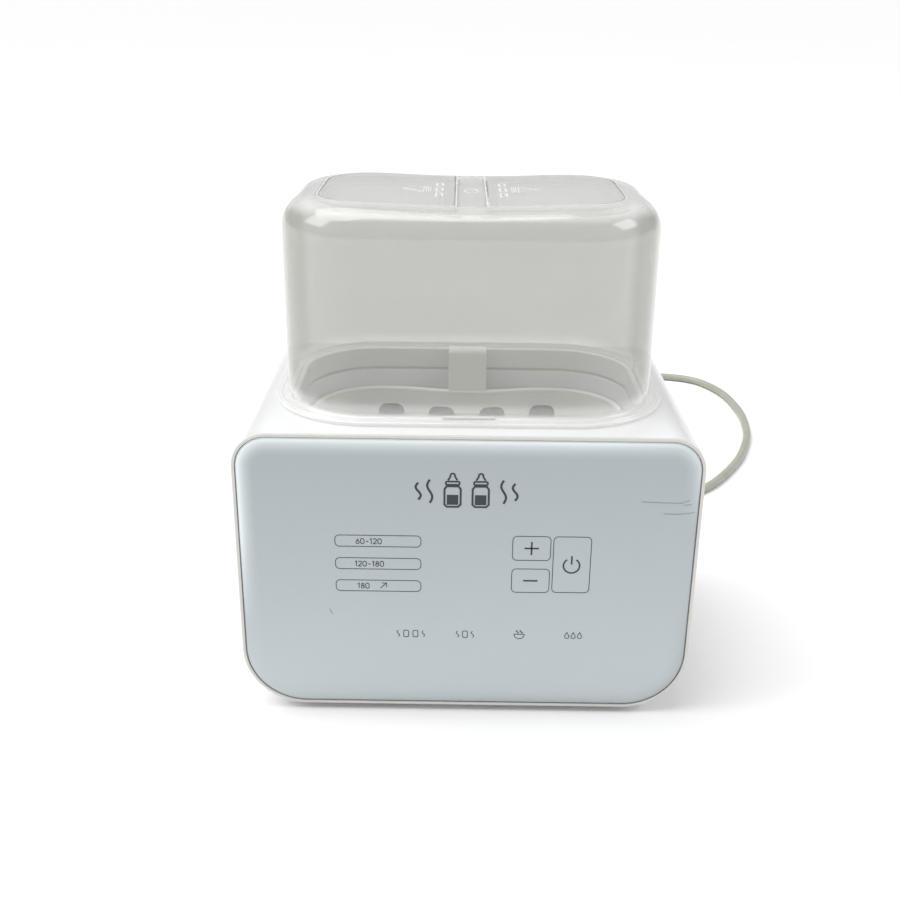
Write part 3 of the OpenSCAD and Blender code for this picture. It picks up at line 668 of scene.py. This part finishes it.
def make_plug():
    """A flat two-blade plug with a ribbed tail, waisted sides for the fingers and soft edges."""
    x0, face_y, tail_y = (plug_low.x + plug_high.x) / 2 / MM, plug_low.y / MM, plug_high.y / MM
    stations = [(tail_y, 3.2), (tail_y - 1.5, 3.5)]
    for k in range(5):
        y, r = tail_y - 2.5 - 2.8 * k, 3.6 + 0.28 * k
        stations += [(y, r), (y - 1.6, r + 0.1), (y - 1.75, r - 0.55), (y - 2.55, r - 0.5)]
    stations += [(tail_y - 18.5, 5.0)]
    tail = turned("plug_tail", (x0, PLUG_Z), stations, CORD)
    start_y = tail_y - 17.5
    rings = []
    for t, grow in ((0, -3.5), (0.03, -1.6), (0.08, -0.5), (0.15, 0), (0.3, -0.5), (0.45, -1.1), (0.6, -1.1),
                    (0.75, -0.4), (0.86, 0), (0.95, 0), (0.985, -0.4), (1, -1.2)):
        y = start_y + t * (face_y - start_y)
        loop = corner_loop(12.5 + grow, 7.5 + 0.35 * grow, [5 + 0.3 * grow] * 4, 8, 2)
        rings.append([mm(x0 + x, y, PLUG_Z + z) for x, z in loop])
    plug = join("plug_moulding", [tail, loft("plug_body", rings, CORD)])
    return own(plug, "root", "cord_beige", "mains_plug")


make_cord()

# ---- housing ----

def front_rings(profile):
    """Rings of the housing's outline for (inset, y) pairs."""
    return [[(x, y, z) for x, z in front_loop(inset)] for inset, y in profile]


def housing_openings():
    """Tools for the well's mouth, the open underside and the cord's hole."""
    plate_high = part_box("bottom_plate")[1]
    gap = 0.2 * MM
    under = corner_loop(plate_high.x + gap, plate_high.y + gap, [2 * MM] * 4, 6, 2)
    return [prism("mouth", well_loop(3.2 * MM), TOP_Z - 6 * MM, TOP_Z + 5 * MM, WHITE),
            prism("under", under, BASE_Z - 5 * MM, BASE_Z + 4 * MM, WHITE),
            turned("outlet", OUTLET, [(60, 4.6), (80, 4.6)], WHITE)]


def make_housing():
    """The white shell: rounded back, soft lip round the panel, ledge, hollow inside."""
    back_r, lip_r, inner_r = 9 * MM, 0.6 * MM, 0.3 * MM
    profile = arc(back_r, BACK_Y - back_r, back_r, 90, 180, 10)
    profile += [(0, BACK_Y - 30 * MM), (0, 0), (0, LIP_Y + 30 * MM), (0, LIP_Y + 6 * MM)]
    profile += arc(lip_r, LIP_Y + lip_r, lip_r, 180, 270, 5)
    profile += arc(LIP - inner_r, LIP_Y + inner_r, inner_r, -90, 0, 3)
    profile += [(LIP, PANEL_BACK), (6 * MM, PANEL_BACK), (6 * MM, LEDGE_Y), (WALL, LEDGE_Y)]
    profile += [(WALL, BACK_Y - back_r)] + arc(back_r, BACK_Y - back_r, back_r - WALL, 165, 90, 5)
    shell = loft("housing_shell", front_rings(profile), WHITE)
    cut(shell, *housing_openings())
    own(weigh(shell), "root", "housing_white", "housing")


def make_bosses():
    """Screw bosses that the bottom plate is fastened to, with their ribs."""
    screws_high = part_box("bottom_screws")[1]
    z0 = BASE_Z + WALL
    z1 = z0 + 12 * MM
    profile = ((1.5, z0), (4, z0), (4, z1 - 0.6 * MM), (3.5, z1), (1.6, z1), (1.5, z1 - 2 * MM))
    head_r, half, start = 2.9 * MM, 1.2 * MM, 3.8 * MM
    bosses = []
    for sx in (-1, 1):
        for sy in (-1, 1):
            x, y = sx * (screws_high.x - head_r), sy * (screws_high.y - head_r)
            rings = [[(px, py, z) for px, py in circle(x, y, r * MM, 32)] for r, z in profile]
            bosses.append(loft("boss", rings, WHITE, closed=True))
            y0, y1 = sorted((y + sy * start, BACK_Y - WALL if sy > 0 else LEDGE_Y))
            rib = [(x + half, y0), (x + half, y1), (x - half, y1), (x - half, y0)]
            bosses.append(prism("rib", rib, z0, z0 + 8 * MM, WHITE))
    own(join("housing_bosses", bosses), "root", "housing_white")


PANEL_INSET = LIP + PANEL_GAP
# Width and depth of the panel's curved edge
PILLOW = 9 * MM
PROUD = 1.9 * MM


def pillow_depth(inset):
    """How far the panel's face has curved back at a distance in from its edge."""
    away = max(0, 1 - inset / PILLOW)
    return PROUD * (1 - math.sqrt(max(0, 1 - away * away)))


def make_panel():
    """The front panel with a soft pillowed edge, and its posts for the display board."""
    profile = [(PANEL_INSET + 3 * MM, PANEL_BACK), (PANEL_INSET, PANEL_BACK)]
    for t in range(0, 91, 6):
        inset = PILLOW * (1 - math.cos(math.radians(t)))
        profile.append((PANEL_INSET + inset, FRONT_Y + pillow_depth(inset)))
    panel = weigh(loft("panel_face", front_rings(profile), PANEL))
    screws_low, screws_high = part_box("display_screws")
    head_r = 2.6 * MM
    stations = [(PANEL_BACK / MM - 0.2, 3), (panel_high.y / MM - 0.4, 3), (panel_high.y / MM, 2.6)]
    posts = []
    for x in (screws_low.x + head_r, screws_high.x - head_r):
        for z in (screws_low.z + head_r, screws_high.z - head_r):
            posts.append(turned("post", (x / MM, z / MM), stations, PANEL))
    own(panel, "root", "panel_blue_grey", "front_panel")
    own(join("panel_posts", posts), "root", "panel_blue_grey")


make_housing()
make_bosses()
make_panel()

# ---- print on the panel ----

PRINT_T = 0.06 * MM
NUMBER_WIDTH = 0.36
FRAME_WIDTH = 0.32


def stroke(points, width, material=None, closed=False):
    """A flat printed line of even width on the panel's face. Points are X and Z in millimetres."""
    pts = [Vector(p) for p in points]
    front, back = FRONT_Y - PRINT_T, FRONT_Y + 0.02 * MM
    rings = []
    for i, p in enumerate(pts):
        before = pts[i - 1] if closed or i else p
        after = pts[(i + 1) % len(pts)] if closed or i < len(pts) - 1 else p
        d1, d2 = (p - before), (after - p)
        d1 = d1.normalized() if d1.length > 1e-9 else d2.normalized()
        d2 = d2.normalized() if d2.length > 1e-9 else d1
        aside = Vector((-d1.y, d1.x))
        normal = Vector((-(d1 + d2).y, (d1 + d2).x))
        normal = normal.normalized() if normal.length > 1e-9 else aside
        reach = normal * width / 2 / max(0.35, normal.dot(aside))
        left, right = (p + reach) * MM, (p - reach) * MM
        rings.append([(q.x, y, q.y) for q, y in ((left, front), (right, front), (right, back), (left, back))])
    return loft("stroke", rings, material or INK, closed=closed, sharp=20)


def shift(points, dx, dz, size=1.0):
    """Points scaled, then moved."""
    return [(dx + size * x, dz + size * z) for x, z in points]


# Strokes of each digit in a box one unit high, with its width
DIGITS = {
    "0": (0.62, [arc(0.31, 0.69, 0.28, 0, 180, 8) + arc(0.31, 0.31, 0.28, 180, 360, 8) + [(0.59, 0.69)]]),
    "1": (0.36, [[(0.02, 0.78), (0.22, 0.97), (0.22, 0.03)]]),
    "2": (0.58, [arc(0.29, 0.70, 0.26, 165, -35, 8) + [(0.03, 0.04), (0.57, 0.04)]]),
    "6": (0.60, [[(0.44, 0.97), (0.12, 0.50)] + arc(0.30, 0.31, 0.27, 150, 510, 14)]),
    "8": (0.60, [arc(0.30, 0.28, 0.25, 90, 450, 14), arc(0.30, 0.74, 0.21, -90, 270, 14)]),
    "-": (0.62, [[(0.10, 0.45), (0.52, 0.45)]]),
}


def number(text, x, z, height):
    """A number or a range in plain strokes, centred on x and z."""
    gap = 0.16
    total = sum(DIGITS[c][0] + gap for c in text) - gap
    at, made = x - total * height / 2, []
    for c in text:
        advance, strokes = DIGITS[c]
        made += [stroke(shift(s, at, z - height / 2, height), NUMBER_WIDTH) for s in strokes]
        at += (advance + gap) * height
    return made


def frame_line(x0, x1, z0, z1, r):
    """A printed rounded frame."""
    loop = corner_loop((x1 - x0) / 2, (z1 - z0) / 2, [r] * 4, 6, 0)
    return stroke(shift(loop, (x0 + x1) / 2, (z0 + z1) / 2), FRAME_WIDTH, closed=True)


def wave(x, z0, z1, swing, width, n=12):
    """An upright line of one wave, for steam."""
    steps = [k / n for k in range(n + 1)]
    return stroke([(x + swing * math.sin(2 * math.pi * t), z0 + (z1 - z0) * t) for t in steps], width)


def pictograms():
    """Plain signs for the modes: two bottles, one bottle, a bowl, drops."""
    z, size, width = 42, 1.3, 0.34
    bottle = corner_loop(0.85, 1.3, [0.45] * 4, 4, 0)
    drop = [(0, 1.3)] + arc(0, -0.35, 0.75, 30, -210, 12)
    bowl = arc(0, 0.3, 1.8, 180, 360, 12)
    made = []
    for sign, places in ((bottle, (-27, -22.8, -0.2)), (bowl, (24.5,)), (drop, (46.2, 49.1, 52.0))):
        made += [stroke(shift(sign, x, z, size), width, closed=True) for x in places]
    made += [wave(x, z - 1.6, z + 1.6, 0.6, width) for x in (-30.6, -19.2, -3.6, 3.2)]
    made += [wave(x, z + 0.9, z + 2.4, 0.6, width) for x in (23.6, 25.4)]
    return made


def maker_sign():
    """A plain sign of two half-filled feeding bottles between steam waves."""
    made = []
    size, z = 1.35, 112.6
    body = [(-2.6, 1.2), (-2.6, -4.2), (-1.8, -5), (1.8, -5), (2.6, -4.2), (2.6, 1.2), (1.9, 2.2),
            (-1.9, 2.2)]
    ring = corner_loop(2.2, 0.55, [0.4] * 4, 4, 0)
    teat = [(-1.5, 0)] + arc(0, 1.6, 0.75, 200, -20, 8) + [(1.5, 0)]
    for x in (-6.6, 5.6):
        made.append(stroke(shift(body, x, z, size), 0.9, closed=True))
        made.append(stroke(shift(ring, x, z + 3.3 * size, size), 0.8, closed=True))
        made.append(stroke(shift(teat, x, z + 4.3 * size, size), 0.8))
        made.append(stroke([(x, z - 4.3 * size), (x, z - 0.8 * size)], 3.7 * size))
    for x, low, high in ((-21.5, -3.5, 4.5), (-16.5, -5, 6), (15.5, -5, 6), (20.5, -3.5, 4.5)):
        made.append(wave(x, z + low, z + high, 1.1, 1.0, 14))
    return made


def make_scuffs():
    """Fine wear marks on the panel's right side, following its pillowed edge."""
    lines = ([(75.4, 109.4), (84, 109.1), (92.5, 108.9), (96.3, 110.3)], [(94, 108), (97.4, 108.2)],
             [(85.3, 103.8), (92, 103.7), (99, 104.3)], [(-61.5, 54.3), (-60.4, 51.6)])
    scuffs = []
    for line in lines:
        steps = [p for a, b in zip(line, line[1:]) for p in (a, *between(a, b, 3))] + [line[-1]]
        scuffs.append(stroke(steps, 0.3, SCUFF))
    marks = join("panel_scuffs", scuffs)
    for v in marks.data.vertices:
        v.co.y += pillow_depth(HALF_W - PANEL_INSET - abs(v.co.x))
    own(marks, "root", "panel_blue_grey")


def range_frames():
    """The three printed ranges in their frames, the last with an arrow that says more."""
    made = []
    for z, text, x in ((88.75, "60-120", -43.4), (77.6, "120-180", -43.2), (66.5, "180", -46.0)):
        made.append(frame_line(-58.3, -20.3, z - 2.75, z + 2.75, 2))
        made += number(text, x, z - 0.1, 2.7)
    made.append(stroke([(-38.4, 65.3), (-35.8, 67.9)], NUMBER_WIDTH))
    made.append(stroke([(-37.8, 67.9), (-35.7, 67.9), (-35.7, 65.9)], NUMBER_WIDTH))
    return made


def key_frames():
    """The plus, minus and power keys in their frames."""
    made = [frame_line(20.2, 37.0, 80.2, 92.0, 2), frame_line(20.2, 37.0, 64.1, 75.9, 2),
            frame_line(38.3, 54.9, 64.3, 92.0, 2)]
    for line in ([(25.4, 86.1), (31.8, 86.1)], [(28.6, 82.9), (28.6, 89.3)], [(25.4, 70.0), (31.8, 70.0)]):
        made.append(stroke(line, 0.75))
    made.append(stroke(arc(46.6, 77.8, 3.6, 125, 415, 24), 0.72))
    made.append(stroke([(46.6, 78.4), (46.6, 82.6)], 0.72))
    return made


def make_print():
    """Everything printed on the panel, and its wear marks."""
    own(join("panel_print", range_frames() + key_frames() + pictograms()), "root", "panel_blue_grey")
    own(join("panel_sign", maker_sign()), "root", "panel_blue_grey")
    make_scuffs()


make_print()

# ---- well: collar, tank ----

def make_collar():
    """The ring round the well's mouth, with rounded edges and a ledge under the housing's top."""
    z0, z1 = TOP_Z / MM - 8.4, collar_high.z / MM
    top = (TOP_Z - WALL) / MM
    inner_r, out, tip = 1.1, 2.6, 0.9
    profile = [(0.15, z0 + 0.1), (0, z0 + 0.5), (0, z1 - 1.2)]
    profile += arc(inner_r, z1 - inner_r, inner_r, 165, 90, 5) + arc(out - tip, z1 - tip, tip, 90, 0, 6)
    profile += [(out, top), (9, top), (9, top - 2.5), (out, top - 2.5), (out, z0 - 1.2), (2.2, z0 - 1.2),
                (2.2, z0), (0.4, z0)]
    collar = sweep("collar_ring", profile, WHITE, closed=True)
    own(weigh(collar), "root", "housing_white", "well_collar")


def make_tank():
    """The drawn tank with a coved bottom edge and a rolled flange."""
    z1, floor = tank_high.z / MM, 40.0
    t, cove, rolled = 1.5, 8.0, 1.2
    outer = arc(-cove, floor + cove, cove + t, -90, 0, 9) + [(t, 90), (t, z1 - t)]
    inner = [(9, z1 - t), (9, z1), (rolled, z1)] + arc(rolled, z1 - rolled, rolled, 108, 180, 4)
    inner += [(0, 100), (0, 70), (0, floor + cove)] + arc(-cove, floor + cove, cove, -10, -90, 8)
    tank = sweep("tank_pot", outer + inner, TANK)
    own(weigh(tank), "root", "tank_coating", "water_tank")


make_collar()
make_tank()

# ---- cover ----

ABOVE = ROOF_Z + 5 * MM
HINGE_X = 7.3
TRAY_T = 1.8
FLAP_T = 2.4
SKIRT = 3.0
# How far the roof dips in its middle, and how far it climbs back at its ends
SAG = 1.2
RISE = 1.2


def crown(obj):
    """Bend the roof: a little low in the middle and high at its ends, fading out down the shoulder."""
    shoulder, flat, run = ROOF_Z / MM - COVER_R, 8, 44
    for v in obj.data.vertices:
        share = min(1, max(0, (v.co.z / MM - shoulder) / COVER_R))
        v.co.z += share * share * (RISE * ease((abs(v.co.x) / MM - flat) / run) - SAG) * MM
    return obj


def capped(name, g, z0, z1, r, foot=()):
    """A closed body over the well's outline grown by g, with a rounded top edge, standing on a foot."""
    profile = [*foot] if foot else [(g, z0)]
    profile += [(g, z0 + (z1 - r - z0) * t) for t in ((0.33, 0.66, 1) if foot else (0.5, 1))]
    profile += arc(g - r, z1 - r, r, 9, 90, 9)
    return sweep(name, profile, MILKY, 16, 10)


def recess_loop(s, grow):
    """The recess round a flap on the side s, grown outwards, in millimetres."""
    gap, middle, near = 0.15, 8, 5.1
    edge = s * (near - grow)
    return [(edge if abs(x) < middle else x, y) for x, y in flap_loop(-gap - grow, s)]


def opening_loop(inset, s, n):
    """The opening under a flap on the side s, shrunk by an inset, in millimetres."""
    centre, a, b, r = 37.5, 25.5 - inset, 38 - inset, 14 - inset
    return [(s * centre + x, y) for x, y in corner_loop(a, b, [r] * 4, n, 3)]


def cover_foot(z0):
    """The profile of the cover's base: a rounded flange, a bead on it and the bend up into the wall."""
    edge, f, bend = FLANGE_G / MM, 1.0, 1.5
    foot = [(WALL_G - 1.4, z0), (edge - 0.6, z0)] + arc(edge - f, z0 + f, f, -60, 90, 5)
    foot += [(WALL_G + 3.4 + 0.7 * c, z0 + 2 + 0.45 * s) for c, s in arc(0, 0, 1, 0, 180, 6)]
    return foot + [(WALL_G + 1.8, z0 + 2)] + arc(WALL_G + bend, z0 + 3.5, bend, 255, 180, 5)


def roof_blocks(tray_z):
    """What stays solid under the roof: two trays, the bridge between them and blocks for the pins."""
    pin_y, bridge_x, bridge_y = 43.9, 5.3, 43.5
    blocks = []

    def block(name, loop, z):
        blocks.append(prism(name, metres(loop), z * MM, ABOVE, MILKY))

    for s in (-1, 1):
        block("tray", recess_loop(s, TRAY_T), tray_z)
        for y in (-pin_y, pin_y):
            pin = [(s * HINGE_X + px, y + py) for px, py in corner_loop(3.4, 3, [0.8] * 4, 4, 0)]
            block("pin_block", pin, tray_z - 0.4)
    bridge = [(bridge_x, bridge_y), (-bridge_x, bridge_y), (-bridge_x, -bridge_y), (bridge_x, -bridge_y)]
    block("bridge", bridge, tray_z)
    return blocks


def roof_holes(tray_z):
    """Tools for the recesses that the flaps lie in, and the openings below them."""
    tools = []
    for s in (-1, 1):
        recess = metres(recess_loop(s, 0))
        tools.append(prism("recess", recess, (tray_z + TRAY_T) * MM, ABOVE, MILKY))
        tools.append(prism("opening", metres(opening_loop(0, s, 10)), (tray_z - 2) * MM, ROOF_Z, MILKY))
    return tools


def make_cover():
    """The milky cover: base flange, tall wall, round shoulder and two trays that the flaps lie in."""
    z0, top = cover_low.z / MM, ROOF_Z / MM
    tray_z = flap_low.z / MM + SKIRT - 0.3 - TRAY_T
    shell = capped("cover_shell", WALL_G, z0 + 3.5, top, COVER_R, cover_foot(z0))
    cavity = capped("cavity", WALL_G - COVER_T, z0 - 3, top - COVER_T, COVER_R - COVER_T)
    cut(cavity, *roof_blocks(tray_z))
    cut(shell, cavity, *roof_holes(tray_z))
    own(weigh(soften(crown(shell), 0.25 * MM)), "cover", "milky_clear", "cover")
    # A small tab at the flange's front, drawn white: partly a real tab, partly a painted highlight along the
    # flange's front
    front = -WELL_HD / MM - WALL_G
    bar = metres([(x, front - 0.5 + y) for x, y in corner_loop(11.5, 0.7, [0.5] * 4, 4, 2)])
    tab = prism("cover_tab", bar, (z0 + 2.1) * MM, (z0 + 3.3) * MM, EMBOSS_AND_GLINT)
    own(soften(tab, 0.3 * MM), "cover", "milky_clear")


def flap_loop(inset, s):
    """A flap's plan for the side s, shrunk by an inset, in millimetres."""
    x0, x1, b, r = 6.2 + inset, 68 - inset, 43.5 - inset, 24 - inset
    small = 1.2
    arcs = [arc(x1 - r, b - r, r, 0, 90, 12), arc(x0 + small, b - small, small, 90, 180, 4),
            arc(x0 + small, small - b, small, 180, 270, 4), arc(x1 - r, r - b, r, 270, 360, 12)]
    return [(s * x, y) for x, y in arc_loop(arcs, (5, 7, 5, 3))]


def make_flap(name, body, node, s):
    """A flap: plate with a soft edge, flush with the roof, a skirt below and its hinge pins."""
    z1 = flap_high.z / MM
    z0 = z1 - FLAP_T
    low = z0 - SKIRT
    plate = [(1.5, z0), (0.3, z0), (0, z0 + 0.3), (0, z1 - 0.9), (0.1, z1 - 0.45), (0.3, z1 - 0.15),
             (0.7, z1), (1.6, z1), (4, z1 - 0.05), (9, z1 - 0.1), (16, z1 - 0.1)]
    skirt = [(1.2, z0 + 0.1), (1.2, low + 0.3), (1.5, low), (2.3, low), (2.6, low + 0.3), (2.6, z0 + 0.1)]
    plate_rings = [level_ring(flap_loop(inset, s), z) for inset, z in plate]
    skirt_rings = [level_ring(opening_loop(inset, s, 8), z) for inset, z in skirt]
    parts = [loft("plate", plate_rings, MILKY_FLAP),
             loft("skirt", skirt_rings, MILKY_FLAP, closed=True)]
    for y0, y1 in ((-45, -42.5), (42.5, 45)):
        parts.append(turned("pin", (s * HINGE_X, z0 + 0.9), [(y0, 0.7), (y1, 0.7)], MILKY_FLAP, sides=20))
    own(crown(join(name, parts)), body, "milky_clear", node)
    own(crown(flap_marks(s, z1 - 0.11)), body, "milky_clear")


def raised(points, width, z, height, closed=False):
    """A raised line on a level face. Points are X and Y in millimetres."""
    flat = stroke(points, width, EMBOSS_AND_GLINT, closed)
    y0 = (FRONT_Y - PRINT_T) / MM
    for v in flat.data.vertices:
        top = v.co.y / MM < y0 + 0.01
        v.co = mm(v.co.x / MM, v.co.z / MM, z + (height if top else -0.1))
    turn_outward(flat.data)
    return flat


def flap_marks(s, z):
    """A bead round the flap, drawn white as a painted highlight on its edge, an arrow that says which end
    lifts, its bars and three rounded marks.
    """
    # The bead round the flap is drawn white, a painted highlight along its edge
    made = [raised([(s * 30.5, 0), (s * 21.4, 7), (s * 21.4, -7)], 0.5, z, 0.25, closed=True),
            raised(flap_loop(0.85, s), 1.3, z + 0.01, 0.1, closed=True)]
    for k in range(3):
        x = s * (20.2 - 0.95 * k)
        made.append(raised([(x, -7.5), (x, 7.5)], 0.4, z, 0.25))
    for y in (-15, -1, 13):
        ring = [(s * 14.3 + px, y + py) for px, py in corner_loop(1.4, 4.2, [1.2] * 4, 5, 0)]
        made.append(raised(ring, 0.9, z, 0.4, closed=True))
    return join("left_flap_marks" if s < 0 else "right_flap_marks", made)


def make_bridge_mark():
    """A small oval on the roof between the flaps."""
    oval = [(3.0 * c, -3 + 5.5 * s) for c, s in circle(0, 0, 1, 24)]
    mark = raised(oval, 0.5, ROOF_Z / MM, 0.12, closed=True)
    mark.name = "bridge_mark"
    own(crown(mark), "cover", "milky_clear")


make_cover()
make_flap("left_flap_plate", "left_flap", "left_flap", -1)
make_flap("right_flap_plate", "right_flap", "right_flap", 1)
make_bridge_mark()

# ---- basket ----

WAIST = 4.6


def basket_loop(inset):
    """The basket's plan: two round lobes and a gentle waist, in millimetres."""
    a, b, r = basket_high.x / MM - inset, basket_high.y / MM - inset, 33.1 - inset
    flat, run = 8, 30
    points = []
    for x, y in corner_loop(a, b, [r] * 4, 18, 24):
        if abs(x) < a - r + 1e-6:
            y -= math.copysign(WAIST * ease(1 - (abs(x) - flat) / run), y)
        points.append((x, y))
    return points


def basket_body():
    """A thin drafted wall with a rolled rim and a floor."""
    z0, z1, t = 45.0, 120.0, 1.8
    roll = 1.3
    outer = [(9, z0), (3, z0 + 0.6), (1.0, z0 + 3), (0.6, z0 + 8), (0.4, 90), (0.1, z1 - 3)]
    rim = arc(1.1, z1 - roll, roll, 200, -20, 11)
    inner = [(t + 0.2, z1 - 3), (t + 0.2, 90), (t + 0.6, z0 + 9), (t + 1.4, z0 + 4.5), (t + 3.5, z0 + 2.4),
             (9, z0 + 2)]
    rings = [level_ring(basket_loop(g), z) for g, z in outer + rim + inner]
    return loft("basket_body", rings, BASKET)


def basket_openings():
    """One tool for the arched windows and the round holes in the floor."""
    half, low, shoulder, r = 6.85, 59, 106, 4.5
    tools = []
    for x in (-40, -13.3, 13.3, 40):
        outline = [(x - half, low), (x + half, low)] + arc(x + half - r, shoulder, r, 0, 90, 8)
        outline += arc(x - half + r, shoulder, r, 90, 180, 8)
        tools.append(prism("window", metres(outline), -70 * MM, 70 * MM, BASKET, axis="y"))
    for x in range(-56, 57, 14):
        for y in (-28, -14, 0, 14, 28):
            tools.append(prism("hole", metres(circle(x, y, 3.4, 20)), 40 * MM, 50 * MM, BASKET))
    return join("windows", tools)


def basket_strap():
    """The handle at the back, flush with the wall inside and rolled back at its top."""
    front, top, low = basket_high.y / MM - WAIST - 2.05, basket_high.z / MM, 115
    roll, thick = 3.4, 1.6
    y0, z0 = front + roll, top - roll
    section = [(front, low)] + arc(y0, z0, roll, 180, 60, 10)
    section += arc(y0, z0, roll - thick, 60, 180, 6) + [(front + thick, low)]
    rings = []
    for x, shrink in ((-9.75, 0.4), (-9.6, 0.15), (-9.2, 0), (-3, 0), (3, 0), (9.2, 0), (9.6, 0.15),
                      (9.75, 0.4)):
        ring = []
        for k, (y, z) in enumerate(section):
            a = math.atan2(z - z0, y - y0) if z > z0 else math.pi
            move = -shrink if k <= len(section) / 2 else shrink
            ring.append(mm(x, y + move * math.cos(a), z + move * math.sin(a)))
        rings.append(ring)
    return loft("strap", rings, BASKET)


def basket_feet():
    """Four short feet under the floor."""
    feet = []
    for x in (-45, 45):
        for y in (-28, 28):
            rings = [level_ring(circle(x, y, r, 24), z) for r, z in ((3.2, 40.4), (4, 41.2), (4, 45.5))]
            feet.append(loft("foot", rings, BASKET))
    return feet


def make_basket():
    """The lift-out basket in one moulding."""
    body = cut(basket_body(), basket_openings())
    basket = join("basket_moulding", [body, basket_strap(), *basket_feet()])
    shade(basket)
    own(weigh(basket), "basket", "basket_plastic", "basket")


make_basket()
dress_cad_nodes()

# ---- stage ----

def add_light(data, place, target):
    """Place a light and turn it towards a point."""
    light = bpy.data.objects.new(data.name, data)
    light.location = place
    light.rotation_euler = (Vector(target) - Vector(place)).to_track_quat("-Z", "Y").to_euler()
    bpy.context.scene.collection.objects.link(light)


def make_floor():
    """A plain pale floor under the object and far behind it."""
    side, near, far = 220, -6, 450
    look = Look("pale_floor", (0.915, 0.915, 0.915), 0.8)
    look.tint(look.noise(3), (0.905, 0.905, 0.905))
    corners = [(-side, near, 0), (side, near, 0), (side, far, 0), (-side, far, 0)]
    add_object("floor", corners, [(0, 1, 2, 3)], look.material)


def make_world():
    """White all round: seen as full white, and lighting the object with a part of that."""
    lighting, seen = 0.53, 1.0
    world = bpy.data.worlds.new("studio")
    bpy.context.scene.world = world
    world.use_nodes = True
    nodes, links = world.node_tree.nodes, world.node_tree.links
    nodes["Background"].inputs["Color"].default_value = (1, 1, 1, 1)
    strength = nodes.new("ShaderNodeMapRange")
    strength.inputs["To Min"].default_value = lighting
    strength.inputs["To Max"].default_value = seen
    links.new(nodes.new("ShaderNodeLightPath").outputs["Is Camera Ray"], strength.inputs["Value"])
    links.new(strength.outputs["Result"], nodes["Background"].inputs["Strength"])


def make_lights():
    """A broad soft sun a little from the left, and a soft box on each side."""
    sun = bpy.data.lights.new("sun", "SUN")
    sun.energy = 1.97
    sun.angle = math.radians(52)
    add_light(sun, (-0.38, 0.02, 1), (0, 0, 0))
    for name, place, size in (("left", (-2.4, -0.4, 1.8), (1.5, 1.15)),
                              ("right", (2.4, -0.35, 1.85), (1.45, 1.15))):
        data = bpy.data.lights.new(name, "AREA")
        data.shape = "RECTANGLE"
        data.size, data.size_y = size
        data.energy = 20
        add_light(data, place, (0, 0, 0.2))


make_floor()
make_world()
make_lights()
bpy.context.scene.view_settings.view_transform = "Standard"
